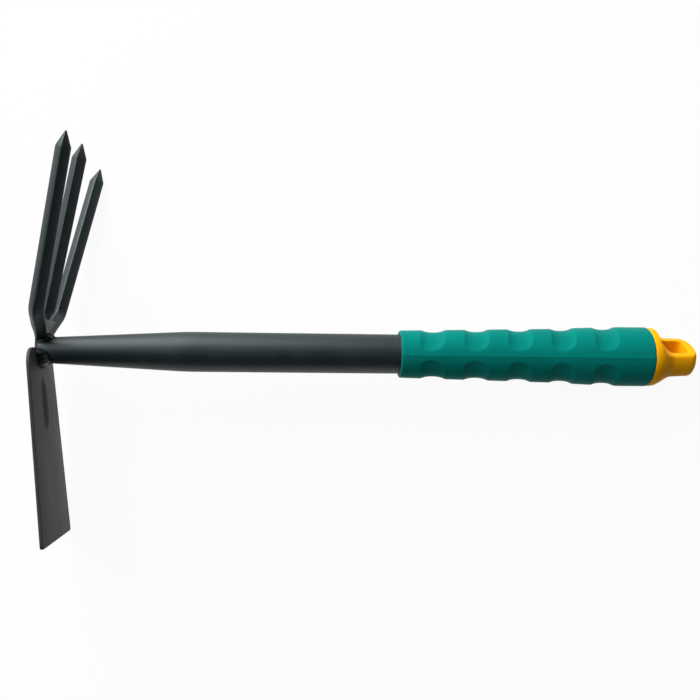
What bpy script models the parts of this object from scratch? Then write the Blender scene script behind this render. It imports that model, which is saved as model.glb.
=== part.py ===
"""A hand-held double hoe, modelled piece by piece.

A steel tube handle is swaged down at its head end and welded square to a pressed hoe blade.
A forged fork of three square tines stands on the blade's top edge and on the tube.
A moulded grip sleeve slides over the butt end, and a plugged cap with a hanging hole closes it.

Units are metres. In the tool's own axes X runs along the handle from head to butt, Y points from
the blade towards the fork, and Z across the tool. The tool lies on its side on the ground.
"""

import math

import bmesh
import bpy
from mathutils import Matrix, Vector

# Fits
FIT_GAP = 0.0003
CUT_MARGIN = 0.002

# Handle tube
TUBE_RADIUS = 0.012
TUBE_WALL = 0.0012
TUBE_END_INSET = 0.004
SWAGED_RADIUS = 0.0075
SWAGE_LENGTH = 0.085

# Hoe blade
BLADE_THICKNESS = 0.002
BLADE_REAR_X = -0.0004
BLADE_TILT = math.radians(6.2)
BLADE_RISE = 0.0013
BLADE_DROP = 0.112
BLADE_TOP_WIDTH = 0.0496
BLADE_EDGE_WIDTH = 0.0626
BLADE_SHOULDER_RADIUS = 0.0105
BLADE_CORNER_RADIUS = 0.0018
RIB_TOP_DROP = 0.013
RIB_LENGTH = 0.037
RIB_WIDTH = 0.0105
RIB_HEIGHT = 0.0014

# Fork
NECK_THICKNESS = 0.006
NECK_WIDTH = 0.013
NECK_CENTRE_X = 0.0006
NECK_TOP = 0.0135
NECK_EDGE_RADIUS = 0.0012
MIDDLE_TINE_TILT = math.radians(10.4)
OUTER_TINE_TILT = math.radians(11.5)
TINE_HINGE_X = -0.0013
MIDDLE_TINE_LENGTH = 0.1257
OUTER_TINE_LENGTH = 0.1214
TINE_SPREAD = 0.0891
TINE_SPLAY = math.radians(11.4)
TINE_DIAGONAL = 0.0088
TINE_POINT_LENGTH = 0.0089
TINE_POINT_BLUNT = 0.0003
TINE_BEND_HEIGHT = 0.0265
TINE_BEND_RADIUS = 0.0105
TINE_ROOT_SLOPE = math.radians(33)
TINE_ROOT_OFFSET = 0.004
TINE_BAR_WIDTH = 0.007
PALM_WIDTH = 0.0246
PALM_FOOT = 0.012
PALM_TOP = 0.0188
PALM_THICKNESS = 0.0056
TINE_TWIST = math.radians(45)
TINE_TWIST_START = 0.008
TINE_TWIST_END = 0.039
MIDDLE_TINE_ROOT = 0.009
MIDDLE_BAR_LENGTH = 0.0095
MIDDLE_EASE_LENGTH = 0.006

# Weld beads
BLADE_WELD_LEG = 0.0036
FORK_WELD_LEG = 0.0026
FORK_WELD_REACH = math.radians(48)

# Grip sleeve
GRIP_START = 0.213
GRIP_LENGTH = 0.1547
GRIP_TURN = math.radians(4)
GRIP_FRONT_WALL = 0.00215
GRIP_MIDDLE_WALL = 0.0043
GRIP_SWELL_WALL = 0.0054
GRIP_BUTT_WALL = 0.0061
GRIP_MIDDLE_SHARE = 0.594
GRIP_SWELL_SHARE = 0.756
GRIP_BUTT_SHARE = 0.893
GRIP_LIP_RADIUS = 0.0009
GRIP_REAR_RADIUS = 0.0008
POCKET_ROWS = 5
POCKET_FIRST = 0.0212
POCKET_PITCH = 0.0267
POCKET_LENGTH = 0.0151
POCKET_DEPTH = 0.00146
POCKET_FULLNESS = 2.4
POCKET_LEAN = 0.0042
POCKET_RUN_OUT = math.radians(36.5)
POCKET_REACH = math.radians(84)
POCKET_OVERRUN = 1.1
POCKET_CUT_HEIGHT = 0.004

# End cap
CAP_FLANGE_STEP = 0.0002
CAP_FLANGE_LENGTH = 0.0046
CAP_FLANGE_ROUNDING = 0.0012
CAP_SHOULDER_LENGTH = 0.0092
CAP_SHOULDER_POWER = 1.25
CAP_TAB_RADIUS = 0.0137
CAP_TAB_END_RADIUS = 0.0128
CAP_DOME_LENGTH = 0.008
CAP_DOME_FULLNESS = 2.5
CAP_TAB_THICKNESS = 0.0149
CAP_TAB_START = 0.0043
CAP_LENGTH = 0.0313
CAP_TURN = math.radians(57.1)
CAP_FLAT_ROOT_RADIUS = 0.0103
HANG_HOLE_LENGTH = 0.0138
HANG_HOLE_WIDTH = 0.0144
HANG_HOLE_CENTRE = 0.0175
HANG_HOLE_ROOT_RADIUS = 0.0045
HANG_HOLE_END_RADIUS = 0.0064
PLUG_LENGTH = 0.024
PLUG_RIBS = 3
PLUG_RIB_WIDTH = 0.0022
PLUG_RIB_HEIGHT = 0.0009
PLUG_TIP_CHAMFER = 0.002

# Fullness of a bar's corners, where 0.5 is a square set on edge and 1 a flat bar
BAR_FULLNESS = 0.92
TINE_FULLNESS = 0.53
TWISTED_FULLNESS = 0.5 / TINE_FULLNESS

# Mesh fineness
ROUND_STEPS = 64
ARC_STEPS = 6
LIP_STEPS = 4
DOME_STEPS = 5
ROOT_STEPS = 6
TWIST_STEPS = 3
POCKET_STEPS_ALONG = 8
POCKET_STEPS_ROUND = 14
BEAD_STEPS = 16
RIB_STEPS = 24
BEVEL_STEPS = 3
SHOULDER_STEPS = 7
SECTION_CORNERS = 8
SMOOTH_ANGLE = math.radians(35)
MERGE_DISTANCE = 1e-6

# Cutting blocks are this many radii across
BLOCK_REACH = 4

# Finishes: base colour and roughness
BLACK_COAT = ((0.012, 0.014, 0.015), 0.38)
WELD_COAT = ((0.012, 0.013, 0.014), 0.5)
TEAL_PLASTIC = ((0.0, 0.27, 0.22), 0.42)
YELLOW_PLASTIC = ((0.95, 0.46, 0.01), 0.3)

# Sizes that follow from those above
GRIP_END = GRIP_START + GRIP_LENGTH
TUBE_END = GRIP_END - TUBE_END_INSET
GRIP_BORE_RADIUS = TUBE_RADIUS + FIT_GAP
GRIP_BUTT_RADIUS = GRIP_BORE_RADIUS + GRIP_BUTT_WALL
CAP_SEAT = GRIP_END + FIT_GAP
CAP_FLANGE_RADIUS = GRIP_BUTT_RADIUS - CAP_FLANGE_STEP
TUBE_BLOCK = BLOCK_REACH * TUBE_RADIUS
CAP_BLOCK = BLOCK_REACH * CAP_FLANGE_RADIUS
TURNED = Matrix.Rotation(math.pi / 2, 4, "Y")


def material(name, finish):
    colour, roughness = finish
    made = bpy.data.materials.new(name)
    made.use_nodes = True
    shader = made.node_tree.nodes["Principled BSDF"]
    shader.inputs["Base Color"].default_value = (*colour, 1.0)
    shader.inputs["Roughness"].default_value = roughness
    return made


def new_collection(name):
    made = bpy.data.collections.new(name)
    bpy.context.scene.collection.children.link(made)
    return made


def add_object(name, mesh, collection, parent, placed=None):
    """An object of this mesh, placed in the tool's axes under its parent."""
    made = bpy.data.objects.new(name, mesh)
    collection.objects.link(made)
    made.parent = parent
    if placed is not None:
        made.location = placed.to_translation()
        made.rotation_euler = placed.to_euler()
    return made


def as_cutter(helper):
    helper.hide_render = True
    helper.display_type = "WIRE"
    return helper


def boolean(target, helper, operation):
    made = target.modifiers.new(helper.name, "BOOLEAN")
    made.operation = operation
    made.object = helper
    made.solver = "EXACT"
    return made


def mesh_of(name, shape):
    """A mesh of the bmesh `shape`, with its faces turned outwards."""
    bmesh.ops.recalc_face_normals(shape, faces=shape.faces)
    made = bpy.data.meshes.new(name)
    shape.to_mesh(made)
    shape.free()
    return made


def smooth(mesh):
    mesh.shade_smooth()
    mesh.set_sharp_from_angle(angle=SMOOTH_ANGLE)


def arc(centre, radius, start, end, steps=ARC_STEPS):
    """Points on an arc in a plane, with both ends."""
    points = []
    for step in range(steps + 1):
        angle = start + (end - start) * step / steps
        points.append((centre[0] + radius * math.cos(angle), centre[1] + radius * math.sin(angle)))
    return points


def turned_mesh(name, profile, closed):
    """A profile of (radius, height) points turned round Z, outer side first and downwards."""
    shape = bmesh.new()
    corners = [shape.verts.new((radius, 0, height)) for radius, height in profile]
    for first, second in zip(corners, corners[1:]):
        shape.edges.new((first, second))
    if closed:
        shape.edges.new((corners[-1], corners[0]))
    made = bpy.data.meshes.new(name)
    shape.to_mesh(made)
    shape.free()
    return made


def turned_object(name, profile, closed, collection, parent):
    """A turned solid whose axis is the handle's axis."""
    mesh = turned_mesh(name, profile, closed)
    made = add_object(name, mesh, collection, parent, TURNED)
    screw = made.modifiers.new("turn", "SCREW")
    screw.steps = ROUND_STEPS
    screw.render_steps = ROUND_STEPS
    screw.use_merge_vertices = True
    screw.merge_threshold = MERGE_DISTANCE
    screw.use_smooth_shade = True
    return made


def box_mesh(name, size):
    shape = bmesh.new()
    bmesh.ops.create_cube(shape, size=1)
    bmesh.ops.scale(shape, vec=size, verts=shape.verts)
    return mesh_of(name, shape)


def blade_frame():
    """Axes in the middle of the plate: x across the tool, y up along it, z out of its front."""
    across = Vector((0, 0, 1))
    upward = Vector((-math.sin(BLADE_TILT), math.cos(BLADE_TILT), 0))
    turned = Matrix((across, upward, across.cross(upward))).transposed().to_4x4()
    middle_x = BLADE_REAR_X - BLADE_THICKNESS / 2 / math.cos(BLADE_TILT)
    return Matrix.Translation((middle_x, 0, 0)) @ turned


def blade_top():
    """Height of the plate's upper edge above the handle's axis."""
    return BLADE_RISE * math.cos(BLADE_TILT) + BLADE_THICKNESS / 2 * math.sin(BLADE_TILT)


def tube_radius_at(along):
    """Outer radius of the tube at a distance along the handle."""
    share = min(max(along / SWAGE_LENGTH, 0), 1)
    return SWAGED_RADIUS + (TUBE_RADIUS - SWAGED_RADIUS) * share


def rounded_outline(corners, radii):
    """Turns the corners of a convex outline, given anticlockwise, into arcs."""
    points = []
    count = len(corners)
    for index, corner in enumerate(corners):
        here = Vector(corner)
        back = (Vector(corners[index - 1]) - here).normalized()
        ahead = (Vector(corners[(index + 1) % count]) - here).normalized()
        half = back.angle(ahead) / 2
        centre = here + (back + ahead).normalized() * (radii[index] / math.sin(half))
        away = -(back + ahead).normalized()
        middle = math.atan2(away.y, away.x)
        sweep = math.pi / 2 - half
        points += arc(centre, radii[index], middle - sweep, middle + sweep)
    return points


def plate_mesh(name, outline, thickness):
    """A flat plate whose face is this outline, as a 2D curve made into a closed mesh."""
    curve = bpy.data.curves.new(name, "CURVE")
    curve.dimensions = "2D"
    curve.fill_mode = "BOTH"
    curve.extrude = thickness / 2
    line = curve.splines.new("POLY")
    line.points.add(len(outline) - 1)
    for point, place in zip(line.points, outline):
        point.co = (place[0], place[1], 0, 1)
    line.use_cyclic_u = True
    guide = bpy.data.objects.new(name, curve)
    bpy.context.scene.collection.objects.link(guide)
    bpy.context.view_layer.update()
    graph = bpy.context.evaluated_depsgraph_get()
    made = bpy.data.meshes.new_from_object(guide.evaluated_get(graph))
    bpy.data.objects.remove(guide)
    shape = bmesh.new()
    shape.from_mesh(made)
    bmesh.ops.remove_doubles(shape, verts=shape.verts, dist=MERGE_DISTANCE)
    bmesh.ops.recalc_face_normals(shape, faces=shape.faces)
    shape.to_mesh(made)
    shape.free()
    return made


def tube_head():
    """Where the uncut tube starts, clear in front of its mitred end."""
    return BLADE_REAR_X - SWAGED_RADIUS * math.tan(BLADE_TILT) - CUT_MARGIN


def make_handle_tube(parts, helpers, lying):
    """Steel tube, swaged to a cone at the head and mitred to lie on the blade."""
    start = tube_head()
    profile = [
        (TUBE_RADIUS, TUBE_END),
        (TUBE_RADIUS, SWAGE_LENGTH),
        (tube_radius_at(0), 0),
        (tube_radius_at(0), start),
        (tube_radius_at(0) - TUBE_WALL, start),
        (tube_radius_at(0) - TUBE_WALL, 0),
        (TUBE_RADIUS - TUBE_WALL, SWAGE_LENGTH),
        (TUBE_RADIUS - TUBE_WALL, TUBE_END),
    ]
    tube = turned_object("handle_tube", profile, True, parts, lying)
    mitre = front_space("tube_mitre", FIT_GAP, helpers, lying)
    boolean(tube, mitre, "DIFFERENCE")
    return tube


def front_space(name, clearance, helpers, lying):
    """A block that fills the space in front of the blade's rear face, plus a clearance."""
    block = box_mesh(name, (TUBE_BLOCK,) * 3)
    depth = (TUBE_BLOCK - BLADE_THICKNESS) / 2 - clearance
    placed = blade_frame() @ Matrix.Translation((0, 0, depth))
    return as_cutter(add_object(name, block, helpers, lying, placed))


def tube_envelope(name, helpers, lying):
    """The space that the swaged end of the tube takes up, with its clearance."""
    clear = FIT_GAP
    profile = [
        (0, SWAGE_LENGTH),
        (tube_radius_at(SWAGE_LENGTH) + clear, SWAGE_LENGTH),
        (tube_radius_at(0) + clear, 0),
        (tube_radius_at(0) + clear, tube_head()),
        (0, tube_head()),
    ]
    return as_cutter(turned_object(name, profile, False, helpers, lying))


def mitred_envelope(name, helpers, lying):
    """The tube's space, cut off where the mitred end of the tube stops."""
    envelope = tube_envelope(name, helpers, lying)
    boolean(envelope, front_space(name + "_mitre", 0, helpers, lying), "DIFFERENCE")
    return envelope


def make_hoe_blade(parts, helpers, lying):
    """Pressed steel plate with a stiffening rib raised towards the handle."""
    top = BLADE_RISE
    bottom = -BLADE_DROP
    corners = [
        (-BLADE_EDGE_WIDTH / 2, bottom),
        (BLADE_EDGE_WIDTH / 2, bottom),
        (BLADE_TOP_WIDTH / 2, top),
        (-BLADE_TOP_WIDTH / 2, top),
    ]
    radii = [BLADE_CORNER_RADIUS] * 2 + [BLADE_SHOULDER_RADIUS] * 2
    plate = plate_mesh("hoe_blade", rounded_outline(corners, radii), BLADE_THICKNESS)
    blade = add_object("hoe_blade", plate, parts, lying, blade_frame())
    for name, depth, operation in (
        ("rib_back", -BLADE_THICKNESS / 2, "UNION"),
        ("rib_front", BLADE_THICKNESS / 2, "DIFFERENCE"),
    ):
        rib = rib_object(name, depth, helpers, lying)
        boolean(blade, rib, operation)
    return blade


def rib_object(name, depth, helpers, lying):
    """A long low ellipsoid that swells out of the plate's face at this depth."""
    shape = bmesh.new()
    bmesh.ops.create_uvsphere(shape, u_segments=RIB_STEPS, v_segments=RIB_STEPS // 2, radius=1)
    bmesh.ops.scale(shape, vec=(RIB_WIDTH / 2, RIB_LENGTH / 2, RIB_HEIGHT), verts=shape.verts)
    centre = -RIB_TOP_DROP - RIB_LENGTH / 2
    placed = blade_frame() @ Matrix.Translation((0, centre, depth))
    return as_cutter(add_object(name, mesh_of(name, shape), helpers, lying, placed))


def tine_frame(tilt):
    """Tine axes: x across the tool, y up along the tine's plane, z to the front."""
    across = Vector((0, 0, 1))
    upward = Vector((math.sin(tilt), math.cos(tilt), 0))
    turned = Matrix((across, upward, across.cross(upward))).transposed().to_4x4()
    return Matrix.Translation((TINE_HINGE_X, 0, 0)) @ turned


def tine_section(place, heading, half_width, half_depth, fullness, twist=0):
    """The corners of a bar's section square to its heading, twisted about it."""
    turned = Matrix.Rotation(twist, 4, Vector((heading.x, heading.y, 0)))
    side = turned @ Vector((-heading.y, heading.x, 0))
    front = turned @ Vector((0, 0, 1))
    ring = []
    for index in range(SECTION_CORNERS):
        angle = index * 2 * math.pi / SECTION_CORNERS
        reach = 1 if index % 2 == 0 else fullness * math.sqrt(2)
        offset = side * half_width * reach * math.cos(angle)
        offset += front * half_depth * reach * math.sin(angle)
        ring.append(Vector((place.x, place.y, 0)) + offset)
    return ring


def loft_mesh(name, rings):
    """A closed solid through rings of equally many corners."""
    shape = bmesh.new()
    made = [[shape.verts.new(corner) for corner in ring] for ring in rings]
    count = len(rings[0])
    for lower, upper in zip(made, made[1:]):
        for index in range(count):
            after = (index + 1) % count
            shape.faces.new((lower[index], lower[after], upper[after], upper[index]))
    shape.faces.new(made[0][::-1])
    shape.faces.new(made[-1])
    return mesh_of(name, shape)


def path_stations(path):
    """Each place on a path with its heading there, and whether it is the point."""
    for index, place in enumerate(path):
        before = path[max(index - 1, 0)]
        after = path[min(index + 1, len(path) - 1)]
        yield place, (after - before).normalized(), index == len(path) - 1


def blend(start, end, share):
    return start + (end - start) * min(max(share, 0), 1)


def outer_tine_mesh(name, side):
    """An outer tine: up from the neck, round its bend and straight out to its point."""
    ahead = Vector((math.sin(TINE_SPLAY), math.cos(TINE_SPLAY)))
    tip = Vector((TINE_SPREAD / 2, OUTER_TINE_LENGTH))
    shoulder = tip - ahead * TINE_POINT_LENGTH
    bend_start = tip - ahead * ((OUTER_TINE_LENGTH - TINE_BEND_HEIGHT) / ahead.y)
    inward = Vector((-ahead.y, ahead.x))
    centre = bend_start + inward * TINE_BEND_RADIUS
    start_angle = -TINE_SPLAY
    end_angle = -(math.pi / 2 - TINE_ROOT_SLOPE)
    bend = [Vector(p) for p in arc(centre, TINE_BEND_RADIUS, end_angle, start_angle)]
    slope = Vector((math.cos(TINE_ROOT_SLOPE), math.sin(TINE_ROOT_SLOPE)))
    root = bend[0] - slope * ((bend[0].x - TINE_ROOT_OFFSET) / slope.x)
    rest = (TINE_TWIST_END - bend[-1].y) / ahead.y
    twisted = [bend[-1] + ahead * rest * (step + 1) / TWIST_STEPS for step in range(TWIST_STEPS)]
    path = [root, *bend, *twisted, shoulder, tip]
    path = [Vector((side * place.x, place.y)) for place in path]
    square = TINE_DIAGONAL / 2 / (math.sqrt(2) * TWISTED_FULLNESS)
    stations = []
    for place, heading, is_tip in path_stations(path):
        share = (place.y - TINE_TWIST_START) / (TINE_TWIST_END - TINE_TWIST_START)
        width = TINE_POINT_BLUNT if is_tip else blend(TINE_BAR_WIDTH / 2, square, share)
        depth = TINE_POINT_BLUNT if is_tip else blend(NECK_THICKNESS / 2, square, share)
        fullness = blend(BAR_FULLNESS, TWISTED_FULLNESS, share)
        twist = side * blend(0, TINE_TWIST, share)
        stations.append(tine_section(place, heading, width, depth, fullness, twist))
    return loft_mesh(name, stations)


def middle_tine_mesh(name):
    """The middle tine: straight up from the neck."""
    bar_top = MIDDLE_TINE_ROOT + MIDDLE_BAR_LENGTH
    square_start = bar_top + MIDDLE_EASE_LENGTH
    heights = [
        MIDDLE_TINE_ROOT,
        bar_top,
        bar_top + MIDDLE_EASE_LENGTH / 2,
        square_start,
        MIDDLE_TINE_LENGTH - TINE_POINT_LENGTH,
        MIDDLE_TINE_LENGTH,
    ]
    path = [Vector((0, height)) for height in heights]
    half_diagonal = TINE_DIAGONAL / 2
    stations = []
    for place, heading, is_tip in path_stations(path):
        share = (place.y - bar_top) / MIDDLE_EASE_LENGTH
        width = TINE_POINT_BLUNT if is_tip else blend(TINE_BAR_WIDTH / 2, half_diagonal, share)
        depth = TINE_POINT_BLUNT if is_tip else blend(NECK_THICKNESS / 2, half_diagonal, share)
        fullness = blend(BAR_FULLNESS, TINE_FULLNESS, share)
        stations.append(tine_section(place, heading, width, depth, fullness))
    return loft_mesh(name, stations)


def make_fork(parts, helpers, lying):
    """Forged fork: a flat neck with three square tines drawn out to points."""
    foot = blade_top() + FIT_GAP
    neck = box_mesh("fork", (NECK_THICKNESS, NECK_TOP - foot, NECK_WIDTH))
    placed = Matrix.Translation((NECK_CENTRE_X, (NECK_TOP + foot) / 2, 0))
    fork = add_object("fork", neck, parts, lying, placed)
    rounding = fork.modifiers.new("forged_edges", "BEVEL")
    rounding.width = NECK_EDGE_RADIUS
    rounding.segments = BEVEL_STEPS
    for name, side in (("near_tine", 1), ("far_tine", -1)):
        mesh = outer_tine_mesh(name, side)
        tine = add_object(name, mesh, helpers, lying, tine_frame(OUTER_TINE_TILT))
        boolean(fork, as_cutter(tine), "UNION")
    mesh = middle_tine_mesh("middle_tine")
    tine = add_object("middle_tine", mesh, helpers, lying, tine_frame(MIDDLE_TINE_TILT))
    boolean(fork, as_cutter(tine), "UNION")
    boolean(fork, palm_block(helpers, lying), "UNION")
    boolean(fork, mitred_envelope("fork_seat", helpers, lying), "DIFFERENCE")
    return fork


def palm_block(helpers, lying):
    """The flat web of the forging, in which the roots of the three tines run together."""
    web = box_mesh("palm", (PALM_WIDTH, PALM_TOP - PALM_FOOT, PALM_THICKNESS))
    middle = Matrix.Translation((0, (PALM_TOP + PALM_FOOT) / 2, 0))
    return as_cutter(add_object("palm", web, helpers, lying, tine_frame(OUTER_TINE_TILT) @ middle))


def bead_object(name, radius, leg, along, collection, lying):
    """A ring of weld metal round the handle's axis."""
    profile = arc((radius, along), leg, math.pi, -math.pi, BEAD_STEPS)[:-1]
    return turned_object(name, profile, True, collection, lying)


def block_at(name, offset, helpers, lying):
    """A cutting block, square to the tool's axes."""
    block = box_mesh(name, (TUBE_BLOCK,) * 3)
    return as_cutter(add_object(name, block, helpers, lying, Matrix.Translation(offset)))


def make_blade_weld(parts, helpers, lying):
    """Fillet weld where the tube's end meets the blade, open at the top for the fork."""
    radius = tube_radius_at(0)
    bead = bead_object("blade_weld", radius, BLADE_WELD_LEG, 0, parts, lying)
    boolean(bead, tube_envelope("blade_weld_bore", helpers, lying), "DIFFERENCE")
    boolean(bead, front_space("blade_weld_face", FIT_GAP, helpers, lying), "DIFFERENCE")
    offset = Vector((0, blade_top() + TUBE_BLOCK / 2, 0))
    boolean(bead, block_at("blade_weld_top", offset, helpers, lying), "DIFFERENCE")
    return bead


def make_fork_weld(parts, helpers, lying):
    """Fillet weld behind the fork's neck, saddled over the top of the tube."""
    rear = NECK_CENTRE_X + NECK_THICKNESS / 2
    radius = tube_radius_at(rear)
    bead = bead_object("fork_weld", radius, FORK_WELD_LEG, rear, parts, lying)
    boolean(bead, tube_envelope("fork_weld_bore", helpers, lying), "DIFFERENCE")
    neck_side = Vector((rear + FIT_GAP - TUBE_BLOCK / 2, 0, 0))
    boolean(bead, block_at("fork_weld_face", neck_side, helpers, lying), "DIFFERENCE")
    under_side = Vector((0, radius * math.cos(FORK_WELD_REACH) - TUBE_BLOCK / 2, 0))
    boolean(bead, block_at("fork_weld_under", under_side, helpers, lying), "DIFFERENCE")
    return bead


def grip_radius_at(share):
    """Outer radius of the sleeve at a share of its length, between its pockets."""
    shares = (0, GRIP_MIDDLE_SHARE, GRIP_SWELL_SHARE, GRIP_BUTT_SHARE, 1)
    walls = (GRIP_FRONT_WALL, GRIP_MIDDLE_WALL, GRIP_SWELL_WALL, GRIP_BUTT_WALL, GRIP_BUTT_WALL)
    for index in range(len(shares) - 1):
        if share <= shares[index + 1]:
            part = (share - shares[index]) / (shares[index + 1] - shares[index])
            wall = walls[index] + (walls[index + 1] - walls[index]) * part
            return GRIP_BORE_RADIUS + wall
    return GRIP_BUTT_RADIUS


def grip_profile():
    """The sleeve's wall: outside from butt to front, then back along the bore."""
    rear = GRIP_REAR_RADIUS
    lip = GRIP_LIP_RADIUS
    outside = []
    rear_centre = (GRIP_BUTT_RADIUS - rear, GRIP_END - rear)
    outside += arc(rear_centre, rear, math.pi / 2, 0, LIP_STEPS)
    for share in (GRIP_BUTT_SHARE, GRIP_SWELL_SHARE, GRIP_MIDDLE_SHARE):
        outside.append((grip_radius_at(share), GRIP_START + GRIP_LENGTH * share))
    front_centre = (grip_radius_at(0) - lip, GRIP_START + lip)
    outside += arc(front_centre, lip, 0, -math.pi / 2, LIP_STEPS)
    return outside + [(GRIP_BORE_RADIUS, GRIP_START), (GRIP_BORE_RADIUS, GRIP_END)]


def pocket_ring(row, turn):
    """The corners of a finger groove's section, at a turn from the middle of its mould half."""
    from_line = math.pi / 2 - abs(turn)
    run_out = math.cos(max(POCKET_RUN_OUT - from_line, 0))
    centre = POCKET_FIRST + POCKET_PITCH * row - POCKET_LEAN * abs(turn) / (math.pi / 2)
    corners = []
    for step in range(POCKET_STEPS_ALONG + 1):
        part = POCKET_OVERRUN * (2 * step / POCKET_STEPS_ALONG - 1)
        along = centre + POCKET_LENGTH / 2 * part
        full = grip_radius_at(along / GRIP_LENGTH)
        floor = full - POCKET_DEPTH * (1 - abs(part) ** POCKET_FULLNESS)
        corners.append((along, floor / run_out))
    top = GRIP_BUTT_RADIUS + POCKET_CUT_HEIGHT
    corners += [(corners[-1][0], top), (corners[0][0], top)]
    return [
        Vector((GRIP_START + along, radius * math.sin(turn), radius * math.cos(turn)))
        for along, radius in corners
    ]


def make_grip_sleeve(parts, helpers, lying):
    """Moulded sleeve with a row of finger grooves across each mould half."""
    sleeve = turned_object("grip_sleeve", grip_profile(), True, parts, lying)
    steps = range(POCKET_STEPS_ROUND + 1)
    turns = [POCKET_REACH * (2 * step / POCKET_STEPS_ROUND - 1) for step in steps]
    shape = bmesh.new()
    for row in range(POCKET_ROWS):
        for side in (-1, 1):
            groove = loft_mesh("groove", [pocket_ring(row, turn) for turn in turns])
            groove.transform(Matrix.Rotation(GRIP_TURN + side * math.pi / 2, 4, "X"))
            shape.from_mesh(groove)
            bpy.data.meshes.remove(groove)
    bmesh.ops.triangulate(shape, faces=shape.faces)
    pockets = add_object("pockets", mesh_of("pockets", shape), helpers, lying)
    boolean(sleeve, as_cutter(pockets), "DIFFERENCE")
    return sleeve


def cap_profile():
    """The cap as turned: its end, tab, shoulder and flange, then the ribbed plug."""
    end = CAP_SEAT + CAP_LENGTH
    shoulder_end = CAP_SEAT + CAP_FLANGE_LENGTH + CAP_SHOULDER_LENGTH
    fall = CAP_FLANGE_RADIUS - CAP_TAB_RADIUS
    profile = [(0, end)]
    for cosine, sine in arc((0, 0), 1, 0, math.pi / 2, DOME_STEPS)[1:]:
        ahead = max(cosine, 0) ** (2 / CAP_DOME_FULLNESS)
        aside = sine ** (2 / CAP_DOME_FULLNESS)
        profile.append((CAP_TAB_END_RADIUS * aside, end - CAP_DOME_LENGTH * (1 - ahead)))
    for step in range(SHOULDER_STEPS + 1):
        share = step / SHOULDER_STEPS
        along = shoulder_end - CAP_SHOULDER_LENGTH * share
        profile.append((CAP_TAB_RADIUS + fall * share**CAP_SHOULDER_POWER, along))
    profile.append((CAP_FLANGE_RADIUS, CAP_SEAT + CAP_FLANGE_ROUNDING))
    profile.append((CAP_FLANGE_RADIUS - CAP_FLANGE_STEP, CAP_SEAT))
    plug_end = CAP_SEAT - PLUG_LENGTH
    rib_radius = TUBE_RADIUS - TUBE_WALL - FIT_GAP
    core_radius = rib_radius - PLUG_RIB_HEIGHT
    profile.append((core_radius, CAP_SEAT))
    pitch = (PLUG_LENGTH - PLUG_TIP_CHAMFER) / (PLUG_RIBS + 1)
    for count in range(PLUG_RIBS):
        middle = CAP_SEAT - pitch * (count + 1)
        profile.append((core_radius, middle + PLUG_RIB_WIDTH / 2))
        profile.append((rib_radius, middle + PLUG_RIB_WIDTH / 2))
        profile.append((core_radius, middle - PLUG_RIB_WIDTH / 2))
    profile.append((core_radius, plug_end + PLUG_TIP_CHAMFER))
    profile.append((core_radius - PLUG_TIP_CHAMFER, plug_end))
    profile.append((0, plug_end))
    return profile


def cap_frame():
    """Cap axes: x along the handle from the grip's end, y across the tab, z through its hole."""
    through = Vector((0, math.sin(CAP_TURN), math.cos(CAP_TURN)))
    along = Vector((1, 0, 0))
    turned = Matrix((along, through.cross(along), through)).transposed().to_4x4()
    return Matrix.Translation((CAP_SEAT, 0, 0)) @ turned


def make_end_cap(parts, helpers, lying):
    """Moulded cap: a plug for the tube, a flange, and a flat-sided tab with a hanging hole."""
    cap = turned_object("end_cap", cap_profile(), False, parts, lying)
    for name, side in (("tab_flat_front", 1), ("tab_flat_back", -1)):
        block = box_mesh(name, (CAP_BLOCK,) * 3)
        offset = side * (CAP_TAB_THICKNESS + CAP_BLOCK) / 2
        placed = cap_frame() @ Matrix.Translation((CAP_TAB_START + CAP_BLOCK / 2, 0, offset))
        flat = as_cutter(add_object(name, block, helpers, lying, placed))
        rounding = flat.modifiers.new("root_fillet", "BEVEL")
        rounding.width = CAP_FLAT_ROOT_RADIUS
        rounding.segments = ROOT_STEPS
        boolean(cap, flat, "DIFFERENCE")
    boolean(cap, hang_hole(helpers, lying), "DIFFERENCE")
    return cap


def hang_hole(helpers, lying):
    """The space of the hanging hole: wide, with small corners to the grip and large ones behind."""
    near = HANG_HOLE_CENTRE - HANG_HOLE_LENGTH / 2
    far = HANG_HOLE_CENTRE + HANG_HOLE_LENGTH / 2
    half_width = HANG_HOLE_WIDTH / 2
    corners = [(near, -half_width), (far, -half_width), (far, half_width), (near, half_width)]
    radii = [
        HANG_HOLE_ROOT_RADIUS,
        HANG_HOLE_END_RADIUS,
        HANG_HOLE_END_RADIUS,
        HANG_HOLE_ROOT_RADIUS,
    ]
    slot = plate_mesh(
        "hang_hole", rounded_outline(corners, radii), CAP_TAB_THICKNESS + 2 * CUT_MARGIN
    )
    return as_cutter(add_object("hang_hole", slot, helpers, lying, cap_frame()))


def lying_rotation():
    """Turns the tool's axes so that it lies on a tine's shoulder, a blade corner and the grip's rim."""
    sine = math.sin(TINE_SPLAY)
    cosine = math.cos(TINE_SPLAY)
    half_diagonal = TINE_DIAGONAL / 2
    out = TINE_SPREAD / 2 - sine * TINE_POINT_LENGTH + cosine * half_diagonal
    up = OUTER_TINE_LENGTH - cosine * TINE_POINT_LENGTH - sine * half_diagonal
    tine = tine_frame(OUTER_TINE_TILT) @ Vector((-out, up, 0))
    corner = Vector((-BLADE_EDGE_WIDTH / 2, -BLADE_DROP + BLADE_CORNER_RADIUS, -BLADE_THICKNESS / 2))
    corner = blade_frame() @ corner
    rim = Vector((GRIP_END - GRIP_REAR_RADIUS, 0, -GRIP_BUTT_RADIUS))
    upward = (rim - tine).cross(corner - tine).normalized()
    if upward.z < 0:
        upward = -upward
    along = Vector((1, 0, 0))
    along = (along - upward * along.dot(upward)).normalized()
    return Matrix((along, upward.cross(along), upward)).to_4x4()


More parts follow.
